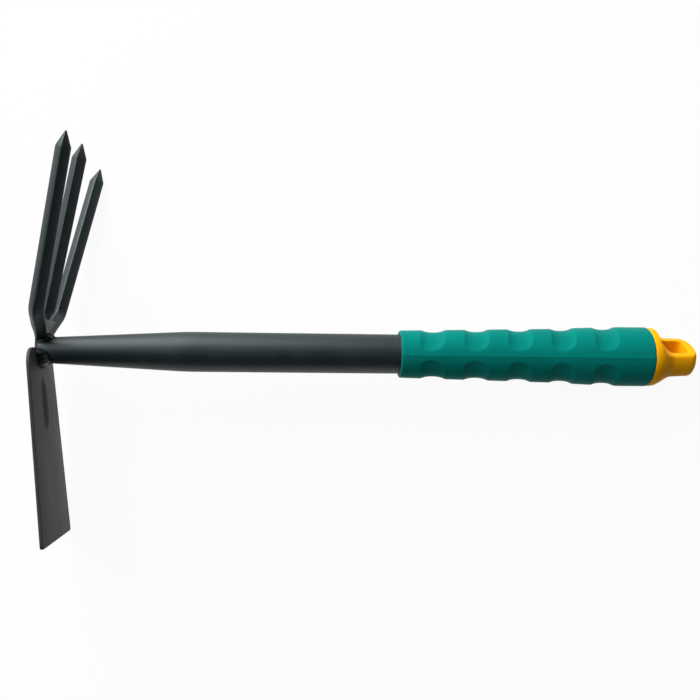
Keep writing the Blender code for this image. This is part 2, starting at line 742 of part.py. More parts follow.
def corners_of(objects):
    """Lowest and highest world coordinates of these objects, as their modifiers leave them."""
    bpy.context.view_layer.update()
    graph = bpy.context.evaluated_depsgraph_get()
    lowest = Vector((math.inf,) * 3)
    highest = Vector((-math.inf,) * 3)
    for made in objects:
        evaluated = made.evaluated_get(graph)
        for vertex in evaluated.data.vertices:
            place = evaluated.matrix_world @ vertex.co
            lowest = Vector(map(min, lowest, place))
            highest = Vector(map(max, highest, place))
    return lowest, highest


def settle(lying, objects):
    """Moves the tool so that it touches the ground, with the origin under the middle of its box."""
    lowest, highest = corners_of(objects)
    middle = (lowest + highest) / 2
    lying.location = (-middle.x, -middle.y, -lowest.z)


def main():
    for old in list(bpy.data.objects):
        bpy.data.objects.remove(old, do_unlink=True)
    parts = new_collection("double_hoe")
    helpers = new_collection("cutters")
    lying = bpy.data.objects.new("lying_tool", None)
    parts.objects.link(lying)
    lying.rotation_euler = lying_rotation().to_euler()

    black_coat = material("black_powder_coat", BLACK_COAT)
    weld_coat = material("coated_weld", WELD_COAT)
    teal_plastic = material("teal_grip_plastic", TEAL_PLASTIC)
    yellow_plastic = material("yellow_cap_plastic", YELLOW_PLASTIC)

    made = [
        (make_handle_tube(parts, helpers, lying), black_coat),
        (make_hoe_blade(parts, helpers, lying), black_coat),
        (make_fork(parts, helpers, lying), black_coat),
        (make_blade_weld(parts, helpers, lying), weld_coat),
        (make_fork_weld(parts, helpers, lying), weld_coat),
        (make_grip_sleeve(parts, helpers, lying), teal_plastic),
        (make_end_cap(parts, helpers, lying), yellow_plastic),
    ]
    for piece, finish in made:
        piece.data.materials.append(finish)
        if piece.data.polygons:
            smooth(piece.data)
    settle(lying, [piece for piece, finish in made])


main()
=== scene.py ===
"""Models the finished double hoe on its frame, with its coat, its mouldings and a plain studio.

The tool's own axes, in metres: X runs along the handle from head to butt, Y points from the blade
towards the fork, and Z across the tool. Each piece is modelled in these axes and then laid where
the frame's tool lies.
"""

import math

import bmesh
import bpy
from bpy.props import FloatProperty, FloatVectorProperty, IntProperty, PointerProperty
from bpy.types import Operator, Panel, PropertyGroup
from mathutils import Matrix, Vector, noise


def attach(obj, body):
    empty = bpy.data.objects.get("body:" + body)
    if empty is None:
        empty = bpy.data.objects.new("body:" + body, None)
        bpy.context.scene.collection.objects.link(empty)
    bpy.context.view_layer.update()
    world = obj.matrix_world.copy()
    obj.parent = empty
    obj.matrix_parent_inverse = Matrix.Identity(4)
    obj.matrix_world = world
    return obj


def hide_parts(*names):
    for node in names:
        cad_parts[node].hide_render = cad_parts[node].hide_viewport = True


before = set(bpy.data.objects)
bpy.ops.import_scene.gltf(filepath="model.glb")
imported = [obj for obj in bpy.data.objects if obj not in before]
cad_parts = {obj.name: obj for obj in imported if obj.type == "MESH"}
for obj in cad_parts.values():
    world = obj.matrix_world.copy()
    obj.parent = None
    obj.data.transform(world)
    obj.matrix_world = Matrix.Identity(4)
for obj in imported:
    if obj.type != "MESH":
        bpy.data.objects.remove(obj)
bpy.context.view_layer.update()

bl_info = {
    "name": "Double Hoe",
    "version": (1, 0, 0),
    "blender": (4, 5, 0),
    "location": "View3D > Sidebar > Double Hoe",
    "description": "Models a hand-held double hoe piece by piece, with its finishes and a studio",
    "category": "Object",
}

SENSOR_WIDTH = 36.0
WHITE = (1, 1, 1, 1)
MERGE_DISTANCE = 1e-6
FINE_MERGE_DISTANCE = 1e-8

# Where the frame's tube is measured: the depth of its butt ring, and the stretch that holds the
# ring behind its cone
BUTT_RING_DEPTH = 0.003
CONE_RING_STRETCH = (0.08, 0.095)

# Plain places along the straight tube, and mesh steps over curved stretches
STRAIGHT_STATIONS = (0.14, 0.2, 0.28)
CONE_STEPS = 16
CONE_BLEND_STEPS = 8
BEND_STEPS = 14
ROOT_STEPS = 8
SHOULDER_STEPS = 16
DOME_STEPS = 16
SLOT_CORNER_STEPS = 14

# Sides of the blocks that cut the pieces, how far the tube's space starts ahead of the tube, and
# the gap that a cut leaves between a bead and the steel beside it
WIDE_CUTTER = 0.06
HEAD_CUTTER = 0.048
SLOT_CUTTER = 0.04
TUBE_LEAD = 0.003
WELD_GAP = 0.0002

# Corners of a moulding this far below its outline belong to its bore or rim
SKIN_DEPTH = 0.0004

# The rib's width at its top as a share, and the power of its rounded section
RIB_TIP_SHARE = 0.15
RIB_CROWN = 1.3

# Along a tine's point, as shares of its length: where the bar still has its full size ahead of the
# point, where the point's edge is rounded and by how much of the fall there, where it is halfway,
# and how far the last ring is from the tip; then the last two rings' sizes in blunt radii
POINT_LEAD = 0.04
POINT_EDGE = 0.03
POINT_EDGE_FALL = 0.8
POINT_END = 0.02
POINT_END_SIZES = (1.3, 0.6)

# A primitive's size before its corners are set, and the part of a noise that is used
START_SIZE = 0.001
NOISE_RANGE = (0.3, 0.7)

# Each lamp's place and the two sides of its face
KEY_LAMP = ((-0.85, 1.26, 0.8), (1.5, 1.5))
EDGE_LAMP = ((-1.1, 0.4, 1.7), (0.5, 0.5))


# Property helpers


def kind_of(make, **fixed):
    """A kind of property, which is called with its name, its description and its default."""

    def property_of_kind(name, description, default):
        return make(name=name, description=description, default=default, **fixed)

    return property_of_kind


length = kind_of(FloatProperty, unit="LENGTH", precision=5)
share = kind_of(FloatProperty, min=0, max=1)
factor = kind_of(FloatProperty, min=1)
level = kind_of(FloatProperty, min=0)
number = kind_of(IntProperty, min=1)
position = kind_of(FloatVectorProperty, subtype="XYZ", unit="LENGTH", precision=5)
turning = kind_of(FloatVectorProperty, subtype="XYZ")
colour = kind_of(FloatVectorProperty, size=3, subtype="COLOR", min=0, max=1)


def angle(name, description, degrees):
    made = kind_of(FloatProperty, subtype="ANGLE", unit="ROTATION")
    return made(name, description, math.radians(degrees))


# Sizes and colours that a user would change


class HandleSizes(PropertyGroup):
    """Sizes of the steel tube."""

    end: length("Tube end", "Where the butt end of the tube stops", 0.3637)
    radius: length("Radius", "Outer radius of the tube", 0.012)
    wall: length("Wall", "Thickness of the tube's wall", 0.0012)
    head_radius: length("Head radius", "Outer radius where the tube meets the blade", 0.0075)
    swage_length: length("Swage length", "Length of the cone at the head", 0.085)
    swage_blend: length("Swage blend", "Length over which the cone runs into the tube", 0.012)
    head_gap: length("Head gap", "Gap between the tube and the blade", 0.0003)
    steps: number("Steps", "Facets round the tube", 128)


class BladeSizes(PropertyGroup):
    """Sizes of the pressed hoe blade."""

    thickness: length("Thickness", "Thickness of the plate", 0.002)
    rear_x: length("Rear face", "Where the plate's rear face crosses the handle's axis", -0.0004)
    tilt: angle("Tilt", "How far the plate leans towards the handle", 6.2)
    rise: length("Rise", "Height of the plate above the handle's axis", 0.0013)
    drop: length("Drop", "Depth of the plate below the handle's axis", 0.112)
    top_width: length("Top width", "Width of the plate at its top", 0.0496)
    edge_width: length("Edge width", "Width of the plate at its cutting edge", 0.0626)
    shoulder: length("Shoulder", "Rounding of the two upper corners", 0.0105)
    corner: length("Corner", "Rounding of the two lower corners", 0.0022)
    edge_radius: length("Edge radius", "Rounding of the plate's rim", 0.00045)
    rib_top: length("Rib top", "Depth at which the rib starts", 0.0125)
    rib_length: length("Rib length", "Length of the rib", 0.038)
    rib_taper: length("Rib taper", "Length over which the rib's top widens", 0.013)
    rib_width: length("Rib width", "Width of the rib", 0.0105)
    rib_height: length("Rib height", "How far the rib stands out", 0.0016)
    rib_mesh: length("Rib mesh", "Spacing of the mesh lines round the rib", 0.0007)


class ForkSizes(PropertyGroup):
    """Sizes of the forged fork."""

    neck_thickness: length("Neck thickness", "Thickness of the neck along the handle", 0.006)
    neck_width: length("Neck width", "Width of the neck across the tool", 0.013)
    neck_x: length("Neck place", "Middle of the neck along the handle", 0.0006)
    neck_top: length("Neck top", "Height of the neck's flat part", 0.0135)
    neck_round: length("Neck rounding", "Rounding of the neck's edges", 0.0013)
    hinge_x: length("Tine plane", "Where the tines' planes cross the handle's level", -0.0013)
    middle_tilt: angle("Middle tilt", "Lean of the middle tine towards the handle", 10.4)
    outer_tilt: angle("Outer tilt", "Lean of the outer tines towards the handle", 11.5)
    middle_length: length("Middle length", "Height of the middle tine", 0.1257)
    outer_length: length("Outer length", "Height of the outer tines", 0.1214)
    spread: length("Spread", "Distance between the outer points", 0.0891)
    splay: angle("Splay", "Lean of an outer tine away from the middle", 11.4)
    diagonal: length("Diagonal", "Size of a tine over its edges", 0.0088)
    point_length: length("Point length", "Length of a tine's point", 0.0089)
    point_blunt: length("Point blunt", "Radius of a tine's tip", 0.0004)
    bend_height: length("Bend height", "Height at which an outer tine runs straight", 0.0265)
    bend_radius: length("Bend radius", "Radius of an outer tine's bend", 0.0105)
    root_slope: angle("Root slope", "Slope of an outer tine's root", 33.0)
    root_offset: length("Root offset", "Where an outer tine's root starts", 0.004)
    bar_width: length("Bar width", "Width of the flat bar at a tine's root", 0.007)
    middle_root: length("Middle root", "Height at which the middle tine starts", 0.009)
    palm_width: length("Palm width", "Width of the web between the tines' roots", 0.0246)
    palm_foot: length("Palm foot", "Height at which the web starts", 0.012)
    palm_top: length("Palm top", "Height of the web between the tines", 0.0188)
    palm_thickness: length("Palm thickness", "Thickness of the web", 0.0056)
    palm_round: length("Palm rounding", "Rounding of the web's edges", 0.0012)
    ease_start: length("Ease start", "Height at which the middle bar turns on edge", 0.0185)
    ease_length: length("Ease length", "Length over which it turns", 0.006)
    twist: angle("Twist", "How far an outer tine is twisted from flat to on edge", 45.0)
    twist_start: length("Twist start", "Height at which an outer tine starts to twist", 0.003)
    twist_end: length("Twist end", "Height at which an outer tine stands on edge", 0.014)
    bar_fullness: factor("Bar fullness", "Squareness of the bar's corners", 5.2)
    tine_fullness: factor("Tine fullness", "Roundness of a tine's faces", 1.09)
    facets: number("Facets", "Facets round a tine", 32)


class WeldSizes(PropertyGroup):
    """Sizes of the weld beads."""

    blade_leg: length("Blade bead", "Leg of the bead between tube and blade", 0.0036)
    fork_leg: length("Fork bead", "Leg of the bead behind the neck", 0.0026)
    spread: factor("Spread", "How much farther a bead reaches along the tube than off it", 1.6)
    ripple: length("Ripple", "Height of the ripples along a bead", 0.00012)
    ripple_pitch: length("Ripple pitch", "Distance from ripple to ripple", 0.0021)
    ripple_level: share("Ripple level", "Height in a ripple that keeps the bead's size", 0.6)
    lump: length("Lump", "How far a bead wanders from its even shape", 0.0009)
    lumps: factor("Lumps", "How closely the lumps follow one another", 260)
    blade_reach: angle("Blade bead reach", "How far it runs round the tube each way", 96)
    fork_reach: angle("Fork bead reach", "How far it runs round the tube each way", 50)
    facets: number("Facets", "Facets round a bead", 12)


class GripSizes(PropertyGroup):
    """Sizes of the moulded grip sleeve."""

    start: length("Start", "Where the sleeve starts along the handle", 0.213)
    length: length("Length", "Length of the sleeve", 0.1547)
    clearance: length("Clearance", "Gap between the sleeve and the tube", 0.0003)
    front_wall: length("Front wall", "Wall at the front", 0.00215)
    middle_wall: length("Middle wall", "Wall past the middle", 0.0043)
    swell_wall: length("Swell wall", "Wall where the sleeve swells", 0.0054)
    butt_wall: length("Butt wall", "Wall at the butt", 0.0061)
    middle_share: share("Middle place", "Place of the middle wall along the sleeve", 0.594)
    swell_share: share("Swell place", "Place of the swell along the sleeve", 0.756)
    butt_share: share("Butt place", "Place where the butt wall starts", 0.893)
    lip: length("Front lip", "Rounding of the front rim", 0.0009)
    rear_radius: length("Rear rounding", "Rounding of the rear rim", 0.0008)
    rows: number("Rows", "Rows of finger grooves", 5)
    first: length("First row", "Middle of the first row behind the front", 0.0212)
    pitch: length("Row pitch", "Distance from row to row", 0.0267)
    turn: angle("Turn", "How far the parting lines are turned about the handle", 4.0)
    groove_length: length("Groove length", "Length of a groove along the sleeve", 0.0151)
    groove_depth: length("Groove depth", "Depth of a groove", 0.00146)
    groove_lean: length("Groove lean", "How far forward a groove leans at a parting line", 0.0042)
    groove_runout: angle("Groove run-out", "Where it starts to run out, from a parting line", 36.5)
    groove_ends: factor("Groove ends", "How suddenly a groove ends along the sleeve", 2.4)
    seam_height: length("Seam height", "Height of the mould's parting ridge", 0.0002)
    seam_width: length("Seam width", "Half width of the parting ridge", 0.0026)
    mesh: length("Mesh", "Spacing of the mesh lines along the sleeve", 0.00048)
    lip_steps: number("Lip steps", "Facets over a rounded rim", 5)
    steps: number("Steps", "Facets round the sleeve", 240)


class CapSizes(PropertyGroup):
    """Sizes of the moulded end cap."""

    seat: length("Seat", "Where the cap meets the sleeve", 0.368)
    flange_radius: length("Flange radius", "Radius of the flange", 0.0182)
    flange_length: length("Flange length", "Length of the flange", 0.003)
    flange_round: length("Flange rounding", "Rounding of the flange's rim", 0.0006)
    shoulder_length: length("Shoulder length", "Length of the curve down to the tab", 0.0108)
    shoulder_power: factor("Shoulder curve", "How softly the shoulder starts and ends", 1.6)
    tab_radius: length("Tab radius", "Radius of the tab at its root", 0.0137)
    tab_end_radius: length("Tab end radius", "Radius of the tab at its end", 0.013)
    dome_length: length("Dome", "Length of the dome that rounds the tab's end", 0.008)
    dome_fullness: factor("Dome fullness", "Squareness of the dome's corner", 2.8)
    tab_thickness: length("Tab thickness", "Thickness between the tab's flats", 0.0151)
    tab_start: length("Tab start", "Where the flats start behind the seat", 0.0043)
    length: length("Length", "Length of the cap behind the seat", 0.0305)
    turn: angle("Turn", "How far the cap is turned about the handle", 57.1)
    root_round: length("Root rounding", "Rounding where a flat meets the shoulder", 0.0103)
    hole_length: length("Slot length", "Length of the hanging slot", 0.0138)
    hole_width: length("Slot width", "Width of the hanging slot", 0.0144)
    hole_place: length("Slot place", "Middle of the slot behind the seat", 0.0178)
    hole_root: length("Slot root corner", "Corner radius of the slot towards the grip", 0.0032)
    hole_end: length("Slot end corner", "Corner radius of the slot's far end", 0.0034)
    root_steps: number("Root steps", "Facets over the root's rounding", 12)
    steps: number("Steps", "Facets round the turned cap", 128)
    plug_length: length("Plug length", "Length of the plug in the tube", 0.024)
    plug_radius: length("Plug radius", "Radius of the plug's core", 0.0096)
    plug_rib: length("Plug rib", "Radius over the plug's ribs", 0.0105)
    edge_mesh: length("Edge mesh", "Mesh size while the tab's edges are rounded", 0.00036)
    edge_passes: number("Edge passes", "Smoothing passes that round the tab's edges", 50)
    rim_passes: number("Rim passes", "Smoothing passes that round the slot's rim", 5)
    rim_mesh: length("Rim mesh", "Mesh size of the finished moulding", 0.0003)


class FinishSettings(PropertyGroup):
    """Colours of the finishes."""

    coat: colour("Black coat", "Powder coat on the steel", (0.002, 0.0095, 0.0105))
    coat_dust: colour("Coat bloom", "Paler bloom on the powder coat", (0.01, 0.02, 0.0215))
    coat_sheen: colour("Coat sheen", "Tint of what the powder coat reflects", (0.92, 0.99, 1.0))
    # The blade wears the same black powder coat as the tube. Its two lighter, brownish base colours
    # are painted reflection: they stand in for the shadowed floor that the blade's face mirrors.
    # The paler of the two also drifts at random over the plate.
    plate: colour("Blade coat", "Duller coat on the blade", (0.03, 0.0298, 0.028))
    plate_bloom_and_painted_reflection: colour("Blade bloom", "Paler bloom on the blade", (0.05, 0.049, 0.046))
    weld: colour("Weld coat", "Coat over the weld beads", (0.003, 0.0105, 0.0105))
    teal: colour("Teal", "Plastic of the grip", (0.002, 0.205, 0.175))
    teal_deep: colour("Deep teal", "Darker drift in the grip's plastic", (0.0015, 0.182, 0.153))
    teal_sheen: colour("Teal sheen", "Tint of what the grip reflects", (0.5, 1.0, 0.95))
    yellow: colour("Yellow", "Plastic of the cap", (0.96, 0.45, 0.005))
    yellow_deep: colour("Deep yellow", "Darker drift in the cap's plastic", (0.93, 0.39, 0.004))
    yellow_sheen: colour("Yellow sheen", "Tint of what the cap reflects", (1.0, 0.8, 0.12))


class StudioSettings(PropertyGroup):
    """The camera, the lights and the floor."""

    lens: factor("Lens", "Focal length in mm", 43.82)
    camera_place: position("Camera", "Place in the tool's axes", (0.1406, -0.0135, 0.5166))
    camera_turn: turning(
        "Camera turn", "Turn in degrees about the tool's axes", (-1.71, 4.70, -0.58)
    )
    floor_size: length("Floor size", "Side of the floor", 12.0)
    floor_colour: colour("Floor", "Colour of the floor", (0.8, 0.8, 0.8))
    shadow: share("Shadow", "How much of the floor's shadow the camera sees", 0.06)
    world_level: level("World", "Strength of the sky", 0.1)
    key_power: level("Key", "Power of the key lamp", 58)
    edge_power: level("Edge", "Power of the edge lamp", 7)


# The tool's axes in the frame


def corner_places(node):
    """The distinct corners of a frame node."""
    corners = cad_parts[node].data.vertices
    places = {tuple(round(value, 6) for value in corner.co) for corner in corners}
    return [Vector(place) for place in sorted(places)]


def mean(places):
    return sum(places, Vector((0, 0, 0))) / len(places)


def tool_axes():
    """The matrix from the tool's axes to the world, read off the frame's fork and tube."""
    fork = corner_places("fork")
    far = min(fork, key=lambda place: place.z)
    near = max(fork, key=lambda place: place.z)
    across = (near - far).normalized()
    tube = corner_places("handle_tube")
    head = min(place.x for place in tube)
    butt = max(place.x for place in tube)
    butt_ring = mean([place for place in tube if place.x > butt - BUTT_RING_DEPTH])
    near_end, far_end = (head + reach for reach in CONE_RING_STRETCH)
    cone_ring = mean([place for place in tube if near_end < place.x < far_end])
    along = butt_ring - cone_ring
    along = (along - across * along.dot(across)).normalized()
    up = across.cross(along)
    turned = Matrix((along, up, across)).transposed().to_4x4()
    origin = butt_ring - along * HandleSizes.__annotations__["end"].keywords["default"]
    return Matrix.Translation(origin) @ turned


TOOL = tool_axes()


# Modelling helpers


def settings():
    return bpy.context.scene.double_hoe


def deselect():
    if bpy.context.mode != "OBJECT":
        bpy.ops.object.mode_set(mode="OBJECT")
    bpy.ops.object.select_all(action="DESELECT")


def select(piece):
    """Selects this piece alone and makes it the active one."""
    deselect()
    piece.select_set(True)
    bpy.context.view_layer.objects.active = piece


def edit_mode():
    """Goes into edit mode on the active piece, where corners are selected."""
    bpy.ops.object.mode_set(mode="EDIT")
    bpy.ops.mesh.select_mode(type="VERT")


def edit(piece):
    """Goes into edit mode on this piece alone, with nothing selected."""
    select(piece)
    edit_mode()
    bpy.ops.mesh.select_all(action="DESELECT")


def object_mode():
    bpy.ops.object.mode_set(mode="OBJECT")


def added(name):
    """The primitive just added, under its name."""
    piece = bpy.context.active_object
    piece.name = name
    piece.data.name = name
    return piece


def pick(piece, wanted):
    """Selects the corners that `wanted` accepts, in edit mode."""
    bpy.ops.mesh.select_all(action="DESELECT")
    mesh = bmesh.from_edit_mesh(piece.data)
    for vertex in mesh.verts:
        if wanted(vertex.co):
            vertex.select_set(True)
    mesh.select_flush_mode()
    bmesh.update_edit_mesh(piece.data)


def pick_edges(piece, wanted):
    """Selects the edges whose two ends `wanted` accepts, in edit mode."""
    bpy.ops.mesh.select_mode(type="EDGE")
    mesh = bmesh.from_edit_mesh(piece.data)
    for edge in mesh.edges:
        edge.select_set(wanted(*(vertex.co for vertex in edge.verts)))
    bmesh.update_edit_mesh(piece.data)


def modify(piece, name, kind, **choices):
    """Adds a modifier with these choices and applies it."""
    made = piece.modifiers.new(name, kind)
    for label, value in choices.items():
        setattr(made, label, value)
    select(piece)
    bpy.ops.object.modifier_apply(modifier=made.name)


def tidy(piece, merge=MERGE_DISTANCE):
    """Merges doubled corners and turns the faces outwards."""
    edit(piece)
    bpy.ops.mesh.select_all(action="SELECT")
    bpy.ops.mesh.remove_doubles(threshold=merge)
    bpy.ops.mesh.normals_make_consistent(inside=False)
    object_mode()


def turned(name, profile, steps, turn=0):
    """A profile of (along, radius) points, extruded point by point and spun round the X axis."""
    deselect()
    bpy.ops.mesh.primitive_plane_add(size=START_SIZE)
    piece = added(name)
    edit_mode()
    bpy.ops.mesh.merge(type="CENTER")
    here = Vector((profile[0][0], 0, profile[0][1]))
    bpy.ops.transform.translate(value=here)
    for along, radius in profile[1:]:
        there = Vector((along, 0, radius))
        bpy.ops.mesh.extrude_vertices_move(TRANSFORM_OT_translate={"value": there - here})
        here = there
    bpy.ops.mesh.select_all(action="SELECT")
    bpy.ops.mesh.spin(steps=steps, angle=math.tau, center=(0, 0, 0), axis=(1, 0, 0))
    object_mode()
    piece.data.transform(Matrix.Rotation(turn, 4, "X"))
    tidy(piece)
    return piece


def bar(name, rings):
    """A solid through rings of corners: a filled circle, extruded from each ring to the next."""
    deselect()
    corners = len(rings[0])
    bpy.ops.mesh.primitive_circle_add(vertices=corners, radius=START_SIZE, fill_type="NGON")
    piece = added(name)
    edit_mode()
    mesh = bmesh.from_edit_mesh(piece.data)
    for vertex, place in zip(sorted(mesh.verts, key=lambda item: item.index), rings[0]):
        vertex.co = place
    bmesh.update_edit_mesh(piece.data)
    for before, ring in zip(rings, rings[1:]):
        bpy.ops.mesh.extrude_region_move(TRANSFORM_OT_translate={"value": (0, 0, 0)})
        mesh = bmesh.from_edit_mesh(piece.data)
        for vertex in [item for item in mesh.verts if item.select]:
            index = min(range(len(before)), key=lambda i: (before[i] - vertex.co).length_squared)
            vertex.co = ring[index]
        bmesh.update_edit_mesh(piece.data)
    object_mode()
    tidy(piece, FINE_MERGE_DISTANCE)
    return piece


def combine(piece, other, operation):
    """Joins or cuts a piece with a helper, which is then removed."""
    modify(piece, other.name, "BOOLEAN", operation=operation, object=other, solver="EXACT")
    bpy.data.objects.remove(other, do_unlink=True)


def block(name, size, placed):
    """A box of this size, laid at a matrix."""
    deselect()
    bpy.ops.mesh.primitive_cube_add(size=1)
    piece = added(name)
    piece.data.transform(placed @ Matrix.Diagonal((*size, 1)))
    return piece


def rounded(piece, radius, steps=4):
    """Rounds all the edges of a block."""
    modify(piece, "rounded_edges", "BEVEL", width=radius, segments=steps)
    return piece


def weigh(piece, group, weight):
    """A vertex group whose weights come from a function of each corner's place."""
    made = piece.vertex_groups.new(name=group)
    for vertex in piece.data.vertices:
        value = weight(vertex.co)
        if value > 0:
            made.add([vertex.index], value, "REPLACE")


def displace(piece, group, strength, direction="NORMAL"):
    modify(
        piece, group, "DISPLACE",
        vertex_group=group, strength=strength, mid_level=0, direction=direction,
    )


def remesh(piece, size):
    modify(piece, "even_mesh", "REMESH", mode="VOXEL", voxel_size=size)


def relax(piece, passes, group=""):
    modify(piece, "relaxed", "SMOOTH", factor=0.5, iterations=passes, vertex_group=group)


def shade(piece, degrees):
    select(piece)
    bpy.ops.object.shade_smooth_by_angle(angle=math.radians(degrees))


def finish_piece(piece, finish_name, slot, *nodes):
    """Lays a finished piece where the frame's tool lies, and fastens it to the frame."""
    piece.data.transform(TOOL)
    piece.vertex_groups.clear()
    piece.data.materials.clear()
    piece.data.materials.append(finish(finish_name))
    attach(piece, "root")
    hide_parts(*nodes)


def ease(value):
    value = min(max(value, 0), 1)
    return value * value * (3 - 2 * value)


def arc(centre, radius, start, end, steps):
    points = []
    for step in range(steps + 1):
        turn = start + (end - start) * step / steps
        points.append((centre[0] + radius * math.cos(turn), centre[1] + radius * math.sin(turn)))
    return points


# Node groups and finishes


def add_node(tree, kind, inputs, **choices):
    """A shader node with these choices, its inputs set to constants or linked to sockets."""
    made = tree.nodes.new("ShaderNode" + kind)
    for name, value in choices.items():
        setattr(made, name, value)
    feed(tree, made, inputs)
    return made


def feed(tree, node, inputs):
    """Sets a node's inputs to constants, or links them to sockets."""
    for label, value in inputs.items():
        if isinstance(value, bpy.types.NodeSocket):
            tree.links.new(value, node.inputs[label])
        else:
            node.inputs[label].default_value = value


def group_with(name, inputs, outputs):
    """An empty node group with these sockets, the values given to it, and its end node."""
    tree = bpy.data.node_groups.new(name, "ShaderNodeTree")
    for label, kind, default in inputs:
        socket = tree.interface.new_socket(
            label, in_out="INPUT", socket_type="NodeSocket" + kind
        )
        if default is not None:
            socket.default_value = default
    for label, kind in outputs:
        tree.interface.new_socket(label, in_out="OUTPUT", socket_type="NodeSocket" + kind)
    given = tree.nodes.new("NodeGroupInput").outputs
    return tree, given, tree.nodes.new("NodeGroupOutput")


def noise_value(tree, where, scale, detail, roughness=0.5):
    inputs = {"Detail": detail, "Roughness": roughness, "Scale": scale, "Vector": where}
    return add_node(tree, "TexNoise", inputs).outputs["Fac"]


def ranged(tree, value, low, high):
    """Stretches the middle of a 0 to 1 value between two numbers or sockets."""
    start, end = NOISE_RANGE
    inputs = {"Value": value, "From Min": start, "From Max": end, "To Min": low, "To Max": high}
    return add_node(tree, "MapRange", inputs, clamp=True).outputs["Result"]


def mixed_value(tree, kind, factor, one, two):
    inputs = {"Factor": factor, "A": one, "B": two}
    return add_node(tree, "Mix", inputs, data_type=kind).outputs["Result"]


def grain_group():
    """Fine relief of a coat or a moulding: a value for the height of a Bump node."""
    tree, given, end = group_with(
        "Fine Grain",
        [
            ("Vector", "Vector", None),
            ("Grain Scale", "Float", 1500.0),
            ("Swell Scale", "Float", 180.0),
            ("Swell Share", "Float", 0.3),
        ],
        [("Height", "Float")],
    )
    fine = noise_value(tree, given["Vector"], given["Grain Scale"], 3.0)
    broad = noise_value(tree, given["Vector"], given["Swell Scale"], 1.0)
    feed(tree, end, {"Height": mixed_value(tree, "FLOAT", given["Swell Share"], fine, broad)})
    return tree


def drift_group():
    """Slow drift of colour and roughness over a surface."""
    tree, given, end = group_with(
        "Finish Drift",
        [
            ("Vector", "Vector", None),
            ("Colour", "Color", None),
            ("Drift Colour", "Color", None),
            ("Drift Scale", "Float", 40.0),
            ("Roughness Low", "Float", 0.35),
            ("Roughness High", "Float", 0.45),
        ],
        [("Colour", "Color"), ("Roughness", "Float")],
    )
    slow = noise_value(tree, given["Vector"], given["Drift Scale"], 4.0, 0.55)
    mask = ranged(tree, slow, 0.0, 1.0)
    colours = mixed_value(tree, "RGBA", mask, given["Colour"], given["Drift Colour"])
    rough = ranged(tree, slow, given["Roughness Low"], given["Roughness High"])
    feed(tree, end, {"Colour": colours, "Roughness": rough})
    return tree


def shared_group(tree, name, make, inputs):
    """A node group placed in a material with its own values; it is made on its first use."""
    group = bpy.data.node_groups.get(name) or make()
    return add_node(tree, "Group", inputs, node_tree=group).outputs


# For each finish its colours in the settings, the roughness it drifts between, the grains in a
# metre, the relief's depth and the specular level
FINISHES = {
    "satin_black_coat": {
        "colours": ("coat", "coat_dust", "coat_sheen"),
        "rough": (0.46, 0.54), "grain": 1400.0, "depth": 0.00002, "specular": 0.55,
    },
    # The blade's copy of the black coat: less specular, with lighter base colours that paint in its
    # reflection of the shadowed floor
    "blade_coat_painted_reflection": {
        "colours": ("plate", "plate_bloom_and_painted_reflection", "coat_sheen"),
        "rough": (0.54, 0.62), "grain": 1400.0, "depth": 0.00002, "specular": 0.2,
    },
    "coated_weld_metal": {
        "colours": ("weld", "coat", "coat_sheen"),
        "rough": (0.3, 0.44), "grain": 900.0, "depth": 0.00005, "specular": 0.3,
    },
    "teal_grip_moulding": {
        "colours": ("teal", "teal_deep", "teal_sheen"),
        "rough": (0.4, 0.48), "grain": 1800.0, "depth": 0.00002, "specular": 0.025,
    },
    "yellow_cap_moulding": {
        "colours": ("yellow", "yellow_deep", "yellow_sheen"),
        "rough": (0.36, 0.44), "grain": 1200.0, "depth": 0.000012, "specular": 0.05,
    },
}

# How closely the drift follows, and how many grains wide the relief's swell is
DRIFT_SCALE = 45.0
SWELL_GRAINS = 8


def finish(name):
    """A finish: drifting colour and roughness, a tinted sheen and a fine relief."""
    made = bpy.data.materials.get(name)
    if made:
        return made
    chosen = FINISHES[name]
    base, drift, sheen = ((*getattr(settings().finishes, label), 1) for label in chosen["colours"])
    made = bpy.data.materials.new(name)
    made.use_nodes = True
    tree = made.node_tree
    where = add_node(tree, "TexCoord", {}).outputs["Object"]
    drifting = shared_group(tree, "Finish Drift", drift_group, {
        "Vector": where,
        "Colour": base,
        "Drift Colour": drift,
        "Drift Scale": DRIFT_SCALE,
        "Roughness Low": chosen["rough"][0],
        "Roughness High": chosen["rough"][1],
    })
    relief = shared_group(tree, "Fine Grain", grain_group, {
        "Vector": where,
        "Grain Scale": chosen["grain"],
        "Swell Scale": chosen["grain"] / SWELL_GRAINS,
    })
    bump = add_node(
        tree, "Bump", {"Strength": 1.0, "Distance": chosen["depth"], "Height": relief["Height"]}
    )
    feed(tree, tree.nodes["Principled BSDF"], {
        "Specular IOR Level": chosen["specular"],
        "Specular Tint": sheen,
        "Base Color": drifting["Colour"],
        "Roughness": drifting["Roughness"],
        "Normal": bump.outputs["Normal"],
    })
    return made


# Steel


def axes_at(along, one, two):
    """Axes at a place on the handle's axis: x and y as given, z square to both."""
    turned_axes = Matrix((one, two, one.cross(two))).transposed().to_4x4()
    return Matrix.Translation((along, 0, 0)) @ turned_axes


def leaning_axes(along, tilt):
    """Axes in a plane that leans by a tilt: x across the tool, y up along it, z to the front."""
    return axes_at(along, Vector((0, 0, 1)), Vector((math.sin(tilt), math.cos(tilt), 0)))


def blade_axes(sizes):
    """Axes in the middle of the plate."""
    return leaning_axes(sizes.rear_x - sizes.thickness / 2 / math.cos(sizes.tilt), -sizes.tilt)


def tube_radius_at(along):
    """Outer radius of the tube, with a soft end to its cone."""
    sizes = settings().handle
    fall = sizes.radius - sizes.head_radius
    start = sizes.swage_length - sizes.swage_blend / 2
    if along >= sizes.swage_length + sizes.swage_blend / 2:
        return sizes.radius
    cone = sizes.head_radius + fall * max(along, 0) / sizes.swage_length
    if along <= start:
        return cone
    step = (along - start) / sizes.swage_blend
    return cone - fall / sizes.swage_length * sizes.swage_blend * step * step / 2


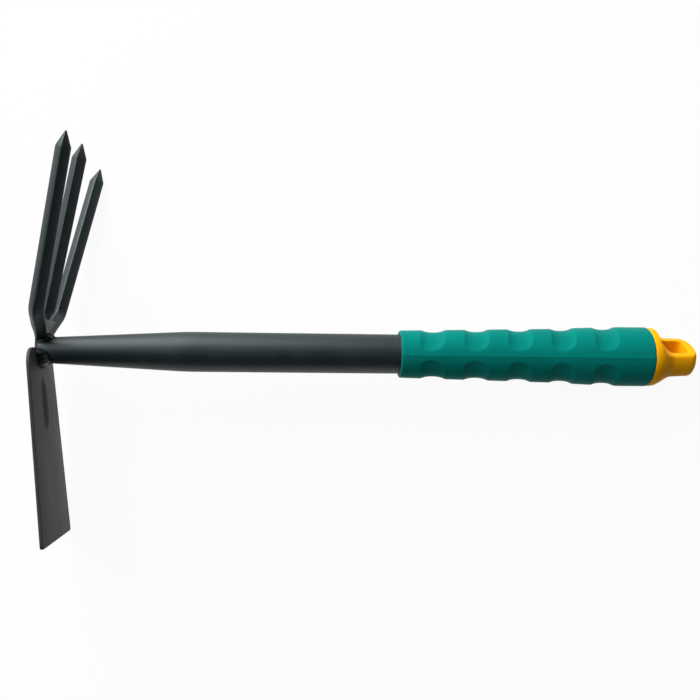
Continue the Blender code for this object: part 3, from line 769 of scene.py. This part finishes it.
class HOE_OT_handle_tube(Operator):
    """Turns the steel tube, with its swaged cone and the mitred end on the blade"""

    bl_idname = "hoe.handle_tube"
    bl_label = "Handle Tube"

    def execute(self, context):
        sizes = settings().handle
        blade = settings().blade
        stations = [0.0]
        start = sizes.swage_length - sizes.swage_blend / 2
        for first, reach, steps in (
            (0, start, CONE_STEPS), (start, sizes.swage_blend, CONE_BLEND_STEPS)
        ):
            stations += [first + reach * step / steps for step in range(1, steps + 1)]
        stations += [*STRAIGHT_STATIONS, sizes.end]
        outside = [(along, tube_radius_at(along)) for along in stations]
        inside = [(along, radius - sizes.wall) for along, radius in reversed(outside)]
        tube = turned("steel_tube", outside + inside + outside[:1], sizes.steps)
        edit(tube)
        mesh = bmesh.from_edit_mesh(tube.data)
        rear = blade.rear_x + sizes.head_gap
        for vertex in mesh.verts:
            if vertex.co.x < MERGE_DISTANCE:
                vertex.co.x = rear - vertex.co.y * math.tan(blade.tilt)
        bmesh.update_edit_mesh(tube.data)
        object_mode()
        shade(tube, 30)
        finish_piece(tube, "satin_black_coat", "black_powder_coat", "handle_tube")
        return {"FINISHED"}


def rib_weight(place, sizes):
    """How far the rib is raised at a place on the plate: tapered above and blunt below."""
    down = -sizes.rib_top - place.y
    left = sizes.rib_length - down
    if down <= 0 or left <= 0:
        return 0
    opened = RIB_TIP_SHARE + (1 - RIB_TIP_SHARE) * ease(down / sizes.rib_taper)
    half_width = sizes.rib_width / 2 * opened
    blunt = sizes.rib_width / 2
    if left < blunt:
        half_width *= math.sqrt(1 - (1 - left / blunt) ** 2)
    aside = abs(place.x) / half_width
    if aside >= 1:
        return 0
    rise = ease(down / sizes.rib_taper) * ease(left / sizes.rib_width)
    return rise * math.cos(aside * math.pi / 2) ** RIB_CROWN


class HOE_OT_hoe_blade(Operator):
    """Cuts the plate, presses its rib and gives it its thickness"""

    bl_idname = "hoe.hoe_blade"
    bl_label = "Hoe Blade"

    def execute(self, context):
        sizes = settings().blade
        deselect()
        bpy.ops.mesh.primitive_plane_add(size=1)
        plate = added("pressed_blade")
        edit_mode()
        height = sizes.rise + sizes.drop
        bpy.ops.transform.resize(value=(sizes.edge_width, height, 1))
        bpy.ops.transform.translate(value=(0, (sizes.rise - sizes.drop) / 2, 0))
        pick(plate, lambda place: place.y > 0)
        narrower = sizes.top_width / sizes.edge_width
        bpy.ops.transform.resize(value=(narrower, 1, 1), center_override=(0, 0, 0))
        bpy.ops.mesh.bevel(offset=sizes.shoulder, segments=16, affect="VERTICES")
        pick(plate, lambda place: place.y < -sizes.drop / 2)
        bpy.ops.mesh.bevel(offset=sizes.corner, segments=8, affect="VERTICES")
        reach = sizes.rib_width / 2 + sizes.rib_mesh
        steps = int(2 * reach / sizes.rib_mesh)
        cuts = [((-reach + 2 * reach * step / steps, 0, 0), (1, 0, 0)) for step in range(steps + 1)]
        steps = int((sizes.rib_length + 2 * sizes.rib_mesh) / sizes.rib_mesh)
        for step in range(steps + 1):
            level = sizes.rib_mesh - sizes.rib_top - sizes.rib_mesh * step
            cuts.append(((0, level, 0), (0, 1, 0)))
        for place, facing in cuts:
            bpy.ops.mesh.select_all(action="SELECT")
            bpy.ops.mesh.bisect(plane_co=place, plane_no=facing)
        object_mode()
        weigh(plate, "rib", lambda place: rib_weight(place, sizes))
        displace(plate, "rib", -sizes.rib_height, "Z")
        modify(plate, "wall", "SOLIDIFY", thickness=sizes.thickness, offset=0)
        modify(
            plate, "rim", "BEVEL", width=sizes.edge_radius, segments=3,
            limit_method="ANGLE", angle_limit=math.radians(60),
        )
        tidy(plate)
        plate.data.transform(blade_axes(sizes))
        shade(plate, 40)
        # The blade's coat has painted reflection in its lighter base colour
        finish_piece(plate, "blade_coat_painted_reflection", "black_powder_coat", "hoe_blade")
        return {"FINISHED"}


def tine_ring(sizes, place, heading, half_width, half_depth, fullness, twist=0):
    """A ring round a bar: fullness 1 is a square set on edge, and a high one a flat bar."""
    turned_bar = Matrix.Rotation(twist, 4, Vector((heading.x, heading.y, 0)))
    side = turned_bar @ Vector((-heading.y, heading.x, 0))
    front = turned_bar @ Vector((0, 0, 1))
    ring = []
    for index in range(sizes.facets):
        turn = math.tau * index / sizes.facets
        cosine = math.cos(turn)
        sine = math.sin(turn)
        wide = math.copysign(abs(cosine) ** (2 / fullness), cosine)
        deep = math.copysign(abs(sine) ** (2 / fullness), sine)
        offset = side * half_width * wide + front * half_depth * deep
        ring.append(Vector((place.x, place.y, 0)) + offset)
    return ring


def headings(path):
    """Each place on a path with its thinning and its heading there."""
    for index, (place, thinning) in enumerate(path):
        before = path[max(index - 1, 0)][0]
        after = path[min(index + 1, len(path) - 1)][0]
        yield place, thinning, (after - before).normalized()


def blend(start, end, part):
    return start + (end - start) * min(max(part, 0), 1)


def pointed(sizes, path, shoulder, tip):
    """The path's end: straight to the point's shoulder, and down to the blunt tip."""
    blunt = sizes.point_blunt / (sizes.diagonal / 2)
    ahead = tip - shoulder
    near_tip, at_tip = POINT_END_SIZES
    return path + [
        (shoulder - ahead * POINT_LEAD, 1.0),
        (shoulder + ahead * POINT_EDGE, 1 - POINT_EDGE * POINT_EDGE_FALL),
        (shoulder + ahead * 0.5, 0.5 + 0.5 * blunt),
        (tip - ahead * POINT_END, blunt * near_tip),
        (tip, blunt * at_tip),
    ]


def outer_tine(sizes, name, side):
    """An outer tine: flat at the neck, round its bend, and twisted on edge as it rises."""
    ahead = Vector((math.sin(sizes.splay), math.cos(sizes.splay)))
    tip = Vector((sizes.spread / 2, sizes.outer_length))
    shoulder = tip - ahead * sizes.point_length
    bend_end = tip - ahead * ((sizes.outer_length - sizes.bend_height) / ahead.y)
    centre = bend_end + Vector((-ahead.y, ahead.x)) * sizes.bend_radius
    first = sizes.root_slope - math.pi / 2
    turns = (first, -sizes.splay)
    bend = [Vector(place) for place in arc(centre, sizes.bend_radius, *turns, BEND_STEPS)]
    slope = Vector((math.cos(sizes.root_slope), math.sin(sizes.root_slope)))
    root = bend[0] - slope * ((bend[0].x - sizes.root_offset) / slope.x)
    path = [(root + (bend[0] - root) * step / ROOT_STEPS, 1.0) for step in range(ROOT_STEPS)]
    path += [(place, 1.0) for place in bend]
    path = pointed(sizes, path, shoulder, tip)
    path = [(Vector((side * place.x, place.y)), thinning) for place, thinning in path]
    square = sizes.diagonal / 2 / (math.sqrt(2) * 0.5 ** (1 / sizes.bar_fullness))
    rings = []
    for place, thinning, heading in headings(path):
        part = (place.y - sizes.twist_start) / (sizes.twist_end - sizes.twist_start)
        width = blend(sizes.bar_width / 2, square, part) * thinning
        depth = blend(sizes.neck_thickness / 2, square, part) * thinning
        twist = side * blend(0, sizes.twist, part)
        rings.append(tine_ring(sizes, place, heading, width, depth, sizes.bar_fullness, twist))
    tine = bar(name, rings)
    tine.data.transform(leaning_axes(sizes.hinge_x, sizes.outer_tilt))
    return tine


def middle_tine(sizes, name):
    """The middle tine: straight up from the neck, easing from a flat bar to a square on edge."""
    tip = Vector((0, sizes.middle_length))
    shoulder = tip - Vector((0, sizes.point_length))
    path = [(Vector((0, sizes.middle_root)), 1.0)]
    for step in range(ROOT_STEPS + 1):
        height = sizes.ease_start + sizes.ease_length * step / ROOT_STEPS
        path.append((Vector((0, height)), 1.0))
    path = pointed(sizes, path, shoulder, tip)
    half = sizes.diagonal / 2
    rings = []
    for place, thinning, heading in headings(path):
        part = ease((place.y - sizes.ease_start) / sizes.ease_length)
        width = blend(sizes.bar_width / 2, half, part) * thinning
        depth = blend(sizes.neck_thickness / 2, half, part) * thinning
        full = 1 / blend(1 / sizes.bar_fullness, 1 / sizes.tine_fullness, part)
        rings.append(tine_ring(sizes, place, heading, width, depth, full))
    tine = bar(name, rings)
    tine.data.transform(leaning_axes(sizes.hinge_x, sizes.middle_tilt))
    return tine


def blade_top(blade):
    return blade.rise * math.cos(blade.tilt) + blade.thickness / 2 * math.sin(blade.tilt)


def front_block(name, clearance):
    """A block that fills the space from the blade's rear face on, and a clearance behind it."""
    blade = settings().blade
    placed = Matrix.Translation((0, 0, (HEAD_CUTTER - blade.thickness) / 2 - clearance))
    return block(name, [HEAD_CUTTER] * 3, blade_axes(blade) @ placed)


def tube_space(name, clearance):
    """The space that the tube's head takes up."""
    stations = (-TUBE_LEAD, 0, WIDE_CUTTER)
    outline = [(along, tube_radius_at(along) + clearance) for along in stations]
    profile = [(outline[0][0], 0), *outline, (WIDE_CUTTER, 0)]
    return turned(name, profile, settings().handle.steps)


class HOE_OT_fork(Operator):
    """Draws the three tines and joins them to the flat neck"""

    bl_idname = "hoe.fork"
    bl_label = "Fork"

    def execute(self, context):
        sizes = settings().fork
        gap = settings().grip.clearance
        foot = blade_top(settings().blade)
        low = foot - sizes.neck_round
        middle = Vector((sizes.neck_x, (sizes.neck_top + low) / 2, 0))
        size = (sizes.neck_thickness, sizes.neck_top - low, sizes.neck_width)
        fork = block("forged_fork", size, Matrix.Translation(middle))
        rounded(fork, sizes.neck_round)
        below = Matrix.Translation((0, foot - WIDE_CUTTER / 2, 0))
        combine(fork, block("below_neck", [WIDE_CUTTER] * 3, below), "DIFFERENCE")
        combine(fork, self.palm(sizes), "UNION")
        combine(fork, outer_tine(sizes, "near_tine", 1), "UNION")
        combine(fork, outer_tine(sizes, "far_tine", -1), "UNION")
        combine(fork, middle_tine(sizes, "middle_tine"), "UNION")
        seat = tube_space("fork_seat", gap)
        combine(seat, front_block("fork_seat_front", 0), "DIFFERENCE")
        combine(fork, seat, "DIFFERENCE")
        tidy(fork)
        shade(fork, 32)
        finish_piece(fork, "satin_black_coat", "black_powder_coat", "fork")
        return {"FINISHED"}

    def palm(self, sizes):
        """The web of the forging, in which the roots of the three tines run together."""
        middle = Matrix.Translation((0, (sizes.palm_top + sizes.palm_foot) / 2, 0))
        size = (sizes.palm_width, sizes.palm_top - sizes.palm_foot, sizes.palm_thickness)
        leaning = leaning_axes(sizes.hinge_x, sizes.outer_tilt)
        return rounded(block("palm", size, leaning @ middle), sizes.palm_round)


def bead(name, path, leg, seed):
    """A rippled bead along a path of (place, outward, fullness) round the tube."""
    sizes = settings().welds
    along = Vector((1, 0, 0)) * sizes.spread
    rings = []
    travelled = 0.0
    for index, (place, outward, fullness) in enumerate(path):
        if index:
            travelled += (place - path[index - 1][0]).length
        wave = abs(math.sin(math.pi * travelled / sizes.ripple_pitch))
        wander = noise.noise(place * sizes.lumps + Vector((seed, 0, 0))) * sizes.lump
        reach = (leg + sizes.ripple * (wave - sizes.ripple_level) + wander) * fullness
        turns = [math.tau * step / sizes.facets for step in range(sizes.facets)]
        rings.append(
            [place + (outward * math.cos(turn) + along * math.sin(turn)) * reach for turn in turns]
        )
    return bar(name, rings)


def bead_path(facing, rear, tilt, reach, count, fading, end_fullness):
    """Places round the tube in a leaning plane, thinner over the `fading` steps at each end."""
    radius = tube_radius_at(rear)
    path = []
    for step in range(count + 1):
        turn = -reach + 2 * reach * step / count
        outward = Vector((0, facing * math.cos(turn), math.sin(turn)))
        place = outward * radius + Vector((rear - outward.y * radius * math.tan(tilt), 0, 0))
        part = ease(min(step, count - step) / fading)
        path.append((place, outward, end_fullness + (1 - end_fullness) * part))
    return path


class HOE_OT_welds(Operator):
    """Lays the weld beads at the blade and at the fork"""

    bl_idname = "hoe.welds"
    bl_label = "Weld Beads"

    def execute(self, context):
        sizes = settings().welds
        blade = settings().blade
        path = bead_path(
            -1, blade.rear_x, blade.tilt, sizes.blade_reach, count=96, fading=8, end_fullness=0.45
        )
        weld = bead("blade_weld_bead", path, sizes.blade_leg, seed=0.0)
        face = front_block("blade_bead_face", WELD_GAP)
        self.fit(weld, tube_space("blade_bead_bore", WELD_GAP), face)
        finish_piece(weld, "coated_weld_metal", "coated_weld", "blade_weld")

        fork = settings().fork
        rear = fork.neck_x + fork.neck_thickness / 2
        path = bead_path(1, rear, 0, sizes.fork_reach, count=48, fading=6, end_fullness=0.5)
        weld = bead("fork_weld_bead", path, sizes.fork_leg, seed=3.0)
        placed = Matrix.Translation((rear + WELD_GAP - HEAD_CUTTER / 2, 0, 0))
        face = block("fork_bead_face", [HEAD_CUTTER] * 3, placed)
        self.fit(weld, tube_space("fork_bead_bore", settings().grip.clearance), face)
        finish_piece(weld, "coated_weld_metal", "coated_weld", "fork_weld")
        return {"FINISHED"}

    def fit(self, weld, bore, face):
        """Cuts a bead back to the tube's space and to the face that it lies against."""
        combine(weld, bore, "DIFFERENCE")
        combine(weld, face, "DIFFERENCE")
        tidy(weld)
        shade(weld, 50)


# Mouldings


def grip_radius_at(along):
    """Outer radius of the sleeve between its grooves, at a distance along the handle."""
    sizes = settings().grip
    bore = settings().handle.radius + sizes.clearance
    shares = (0, sizes.middle_share, sizes.swell_share, sizes.butt_share, 1)
    walls = (
        sizes.front_wall, sizes.middle_wall, sizes.swell_wall, sizes.butt_wall, sizes.butt_wall
    )
    part = min(max((along - sizes.start) / sizes.length, 0), 1)
    for index in range(len(shares) - 1):
        if part <= shares[index + 1]:
            step = (part - shares[index]) / (shares[index + 1] - shares[index])
            return bore + walls[index] + (walls[index + 1] - walls[index]) * step
    return bore + sizes.butt_wall


def seam_turn(place, sizes):
    """The turn about the handle from the nearer of the mould's two parting lines."""
    turn = math.atan2(place.y, place.z) + sizes.turn
    return abs((turn + math.pi / 2) % math.pi - math.pi / 2)


def groove_weight(place, sizes):
    """How deep the grooves are: scooped along the sleeve, running out near a parting line."""
    full = grip_radius_at(place.x)
    turn = seam_turn(place, sizes)
    first = sizes.start + sizes.first - sizes.groove_lean * (1 - turn / (math.pi / 2))
    row = round((place.x - first) / sizes.pitch)
    along = abs(place.x - first - sizes.pitch * row) / (sizes.groove_length / 2)
    inside = math.hypot(place.y, place.z) < full - SKIN_DEPTH
    if inside or along >= 1 or not 0 <= row < sizes.rows:
        return 0
    floor = blend(full - sizes.groove_depth, full, along**sizes.groove_ends)
    floor /= math.cos(max(sizes.groove_runout - turn, 0))
    return max(full - floor, 0) / sizes.groove_depth


def seam_weight(place, sizes):
    """The low ridge along the mould's parting lines, from 0 to 1."""
    radius = math.hypot(place.y, place.z)
    if radius < grip_radius_at(place.x) - SKIN_DEPTH:
        return 0
    return max(1 - seam_turn(place, sizes) * radius / sizes.seam_width, 0) ** 2


class HOE_OT_grip_sleeve(Operator):
    """Turns the grip sleeve and presses its finger grooves"""

    bl_idname = "hoe.grip_sleeve"
    bl_label = "Grip Sleeve"

    def execute(self, context):
        sizes = settings().grip
        bore = settings().handle.radius + sizes.clearance
        end = sizes.start + sizes.length
        lip = sizes.lip
        rear = sizes.rear_radius
        front_radius = grip_radius_at(sizes.start)
        rear_radius = grip_radius_at(end)
        quarter = math.pi / 2
        centre = (sizes.start + lip, front_radius - lip)
        profile = arc(centre, lip, math.pi, quarter, sizes.lip_steps)
        rings = int((sizes.length - lip - rear) / sizes.mesh)
        for step in range(1, rings):
            along = sizes.start + lip + (sizes.length - lip - rear) * step / rings
            profile.append((along, grip_radius_at(along)))
        profile += arc((end - rear, rear_radius - rear), rear, quarter, 0, sizes.lip_steps)
        profile += [(end, bore), (sizes.start, bore), profile[0]]
        sleeve = turned("grip_moulding", profile, sizes.steps, sizes.turn)
        weigh(sleeve, "grooves", lambda place: groove_weight(place, sizes))
        weigh(sleeve, "seam", lambda place: seam_weight(place, sizes))
        displace(sleeve, "seam", sizes.seam_height)
        displace(sleeve, "grooves", -sizes.groove_depth)
        shade(sleeve, 40)
        edit(sleeve)

        def on_line(one, two):
            outside = math.hypot(one.y, one.z) > bore + MERGE_DISTANCE
            away = max(seam_turn(one, sizes), seam_turn(two, sizes))
            return outside and away < math.pi / sizes.steps / 2

        pick_edges(sleeve, on_line)
        bpy.ops.mesh.mark_sharp()
        object_mode()
        finish_piece(sleeve, "teal_grip_moulding", "teal_grip_plastic", "grip_sleeve")
        return {"FINISHED"}


def cap_axes(sizes):
    """Cap axes: x along the handle from the seat, y across the tab, z through its slot."""
    across = Vector((0, math.cos(sizes.turn), -math.sin(sizes.turn)))
    return axes_at(sizes.seat, Vector((1, 0, 0)), across)


def plate_with_corners(name, low, high, rounds, thickness, placed):
    """A thick plate whose left and right corners have their own rounding."""
    deselect()
    bpy.ops.mesh.primitive_cube_add(size=1)
    piece = added(name)
    middle = ((low[0] + high[0]) / 2, (low[1] + high[1]) / 2, 0)
    size = (high[0] - low[0], high[1] - low[1], thickness)
    piece.data.transform(Matrix.Translation(middle) @ Matrix.Diagonal((*size, 1)))
    for side, radius in zip((-1, 1), rounds):
        edit(piece)

        def at_corner(one, two):
            upright = abs(one.z - two.z) > thickness / 2
            return upright and (one.x - middle[0]) * side > size[0] / 2 - 10 * MERGE_DISTANCE

        pick_edges(piece, at_corner)
        bpy.ops.mesh.bevel(
            offset=radius, segments=SLOT_CORNER_STEPS, affect="EDGES", clamp_overlap=False
        )
        object_mode()
    piece.data.transform(placed)
    tidy(piece)
    return piece


class HOE_OT_end_cap(Operator):
    """Turns the cap, cuts its flats and its hanging slot, and softens the moulding's edges"""

    bl_idname = "hoe.end_cap"
    bl_label = "End Cap"

    def execute(self, context):
        sizes = settings().cap
        cap = turned("cap_moulding", self.profile(sizes), sizes.steps)
        size = WIDE_CUTTER
        for name, side in (("tab_flat_front", 1), ("tab_flat_back", -1)):
            offset = (sizes.tab_start + size / 2, 0, side * (sizes.tab_thickness + size) / 2)
            cutter = block(name, [size] * 3, cap_axes(sizes) @ Matrix.Translation(offset))
            combine(cap, rounded(cutter, sizes.root_round, sizes.root_steps), "DIFFERENCE")
        tidy(cap)
        remesh(cap, sizes.edge_mesh)
        flange = sizes.seat + sizes.flange_length / 2
        weigh(cap, "edges", lambda place: ease((place.x - flange) / sizes.flange_length))
        relax(cap, sizes.edge_passes, "edges")
        cap.vertex_groups.clear()
        half = sizes.hole_width / 2
        slot = plate_with_corners(
            "hanging_slot",
            (sizes.hole_place - sizes.hole_length / 2, -half),
            (sizes.hole_place + sizes.hole_length / 2, half),
            (sizes.hole_root, sizes.hole_end),
            SLOT_CUTTER,
            cap_axes(sizes),
        )
        combine(cap, slot, "DIFFERENCE")
        remesh(cap, sizes.rim_mesh)
        relax(cap, sizes.rim_passes)
        select(cap)
        bpy.ops.object.shade_smooth()
        finish_piece(cap, "yellow_cap_moulding", "yellow_cap_plastic", "end_cap")
        return {"FINISHED"}

    def profile(self, sizes):
        """The turned outline: the ribbed plug, the flange, its shoulder, the tab and its dome."""
        seat = sizes.seat
        end = seat + sizes.length
        tip = 0.002
        rib = 0.0011
        points = [(seat - sizes.plug_length, 0)]
        points += [(seat - sizes.plug_length, sizes.plug_radius - tip)]
        points += [(seat - sizes.plug_length + tip, sizes.plug_radius)]
        pitch = (sizes.plug_length - tip) / 4
        for count in (3, 2, 1):
            middle = seat - pitch * count
            points += [(middle - rib, sizes.plug_radius), (middle + rib, sizes.plug_rib)]
            points += [(middle + rib, sizes.plug_radius)]
        points += [(seat, sizes.plug_radius)]
        rim = sizes.flange_round
        points += arc((seat + rim, sizes.flange_radius - rim), rim, math.pi, math.pi / 2, 4)
        fall = sizes.flange_radius - sizes.tab_radius
        shoulder_end = seat + sizes.flange_length + sizes.shoulder_length
        for step in range(SHOULDER_STEPS + 1):
            down = step / SHOULDER_STEPS
            along = shoulder_end - sizes.shoulder_length * (1 - down)
            part = (1 - down**sizes.shoulder_power) ** sizes.shoulder_power
            points.append((along, sizes.tab_radius + fall * part))
        for cosine, sine in arc((0, 0), 1, 0, math.pi / 2, DOME_STEPS):
            aside = max(cosine, 0) ** (2 / sizes.dome_fullness)
            ahead = sine ** (2 / sizes.dome_fullness)
            along = end - sizes.dome_length * (1 - ahead)
            points.append((along, sizes.tab_end_radius * aside))
        return points


# Studio


def math_value(tree, operation, one, two):
    return add_node(tree, "Math", {0: one, 1: two}, operation=operation).outputs["Value"]


def floor_material(chosen):
    """A pale floor that the camera and reflections see as white, with part of its shadow."""
    made = bpy.data.materials.new("studio_floor")
    made.use_nodes = True
    tree = made.node_tree
    tree.nodes.clear()
    matt = add_node(tree, "BsdfDiffuse", {"Color": (*chosen.floor_colour, 1)})
    white = add_node(tree, "Emission", {"Color": WHITE})
    rays = add_node(tree, "LightPath", {}).outputs
    seen = math_value(tree, "MAXIMUM", rays["Is Camera Ray"], rays["Is Glossy Ray"])
    seen = math_value(tree, "MAXIMUM", seen, rays["Is Transmission Ray"])
    seen = math_value(tree, "MULTIPLY", seen, 1 - chosen.shadow)
    inputs = {"Fac": seen, 1: matt.outputs["BSDF"], 2: white.outputs["Emission"]}
    mixed = add_node(tree, "MixShader", inputs)
    add_node(tree, "OutputMaterial", {"Surface": mixed.outputs["Shader"]})
    return made


def sky(chosen):
    """A plain pale sky, white to the camera."""
    world = bpy.data.worlds.new("studio_sky")
    bpy.context.scene.world = world
    world.use_nodes = True
    tree = world.node_tree
    tree.nodes.clear()
    light = add_node(tree, "Background", {"Color": WHITE, "Strength": chosen.world_level})
    white = add_node(tree, "Background", {"Color": WHITE})
    inputs = {
        "Fac": add_node(tree, "LightPath", {}).outputs["Is Camera Ray"],
        1: light.outputs["Background"],
        2: white.outputs["Background"],
    }
    mixed = add_node(tree, "MixShader", inputs)
    add_node(tree, "OutputWorld", {"Surface": mixed.outputs["Shader"]})


def lamp(name, place, size, power):
    """A square soft lamp that looks at the middle of the tool."""
    data = bpy.data.lights.new(name, "AREA")
    data.shape = "RECTANGLE"
    data.size, data.size_y = size
    data.energy = power
    made = bpy.data.objects.new(name, data)
    bpy.context.scene.collection.objects.link(made)
    made.location = place
    made.rotation_euler = (-Vector(place)).to_track_quat("-Z", "Y").to_euler()


class HOE_OT_studio(Operator):
    """Sets up the camera, the floor and the soft lamps"""

    bl_idname = "hoe.studio"
    bl_label = "Studio"

    def execute(self, context):
        chosen = settings().studio
        data = bpy.data.cameras.new("photo_camera")
        data.sensor_width = SENSOR_WIDTH
        data.lens = chosen.lens
        data.clip_start = 0.01
        data.clip_end = 50
        camera = bpy.data.objects.new("photo_camera", data)
        context.scene.collection.objects.link(camera)
        turn = Vector(math.radians(value) for value in chosen.camera_turn)
        rotation = Matrix.Rotation(-turn.length, 4, turn.normalized())
        camera.matrix_world = TOOL @ Matrix.Translation(chosen.camera_place) @ rotation
        context.scene.camera = camera
        deselect()
        bpy.ops.mesh.primitive_plane_add(size=chosen.floor_size)
        floor = added("studio_floor")
        floor.data.materials.append(floor_material(chosen))
        sky(chosen)
        lamp("key_lamp", *KEY_LAMP, chosen.key_power)
        lamp("edge_lamp", *EDGE_LAMP, chosen.edge_power)
        context.scene.view_settings.view_transform = "Standard"
        return {"FINISHED"}


class DoubleHoeSettings(PropertyGroup):
    """All the settings of the double hoe."""

    handle: PointerProperty(type=HandleSizes)
    blade: PointerProperty(type=BladeSizes)
    fork: PointerProperty(type=ForkSizes)
    welds: PointerProperty(type=WeldSizes)
    grip: PointerProperty(type=GripSizes)
    cap: PointerProperty(type=CapSizes)
    finishes: PointerProperty(type=FinishSettings)
    studio: PointerProperty(type=StudioSettings)


OPERATORS = (
    HOE_OT_handle_tube,
    HOE_OT_hoe_blade,
    HOE_OT_fork,
    HOE_OT_welds,
    HOE_OT_grip_sleeve,
    HOE_OT_end_cap,
    HOE_OT_studio,
)


class HOE_PT_panel(Panel):
    """Lists the pieces of the double hoe"""

    bl_idname = "HOE_PT_panel"
    bl_label = "Double Hoe"
    bl_space_type = "VIEW_3D"
    bl_region_type = "UI"
    bl_category = "Double Hoe"

    def draw(self, context):
        for operator in OPERATORS:
            self.layout.operator(operator.bl_idname)


CLASSES = (
    HandleSizes,
    BladeSizes,
    ForkSizes,
    WeldSizes,
    GripSizes,
    CapSizes,
    FinishSettings,
    StudioSettings,
    DoubleHoeSettings,
    *OPERATORS,
    HOE_PT_panel,
)


def register():
    for made in CLASSES:
        bpy.utils.register_class(made)
    bpy.types.Scene.double_hoe = PointerProperty(type=DoubleHoeSettings)


def unregister():
    del bpy.types.Scene.double_hoe
    for made in reversed(CLASSES):
        bpy.utils.unregister_class(made)


def main():
    register()
    bpy.ops.hoe.handle_tube()
    bpy.ops.hoe.hoe_blade()
    bpy.ops.hoe.fork()
    bpy.ops.hoe.welds()
    bpy.ops.hoe.grip_sleeve()
    bpy.ops.hoe.end_cap()
    bpy.ops.hoe.studio()


if __name__ == "__main__":
    main()
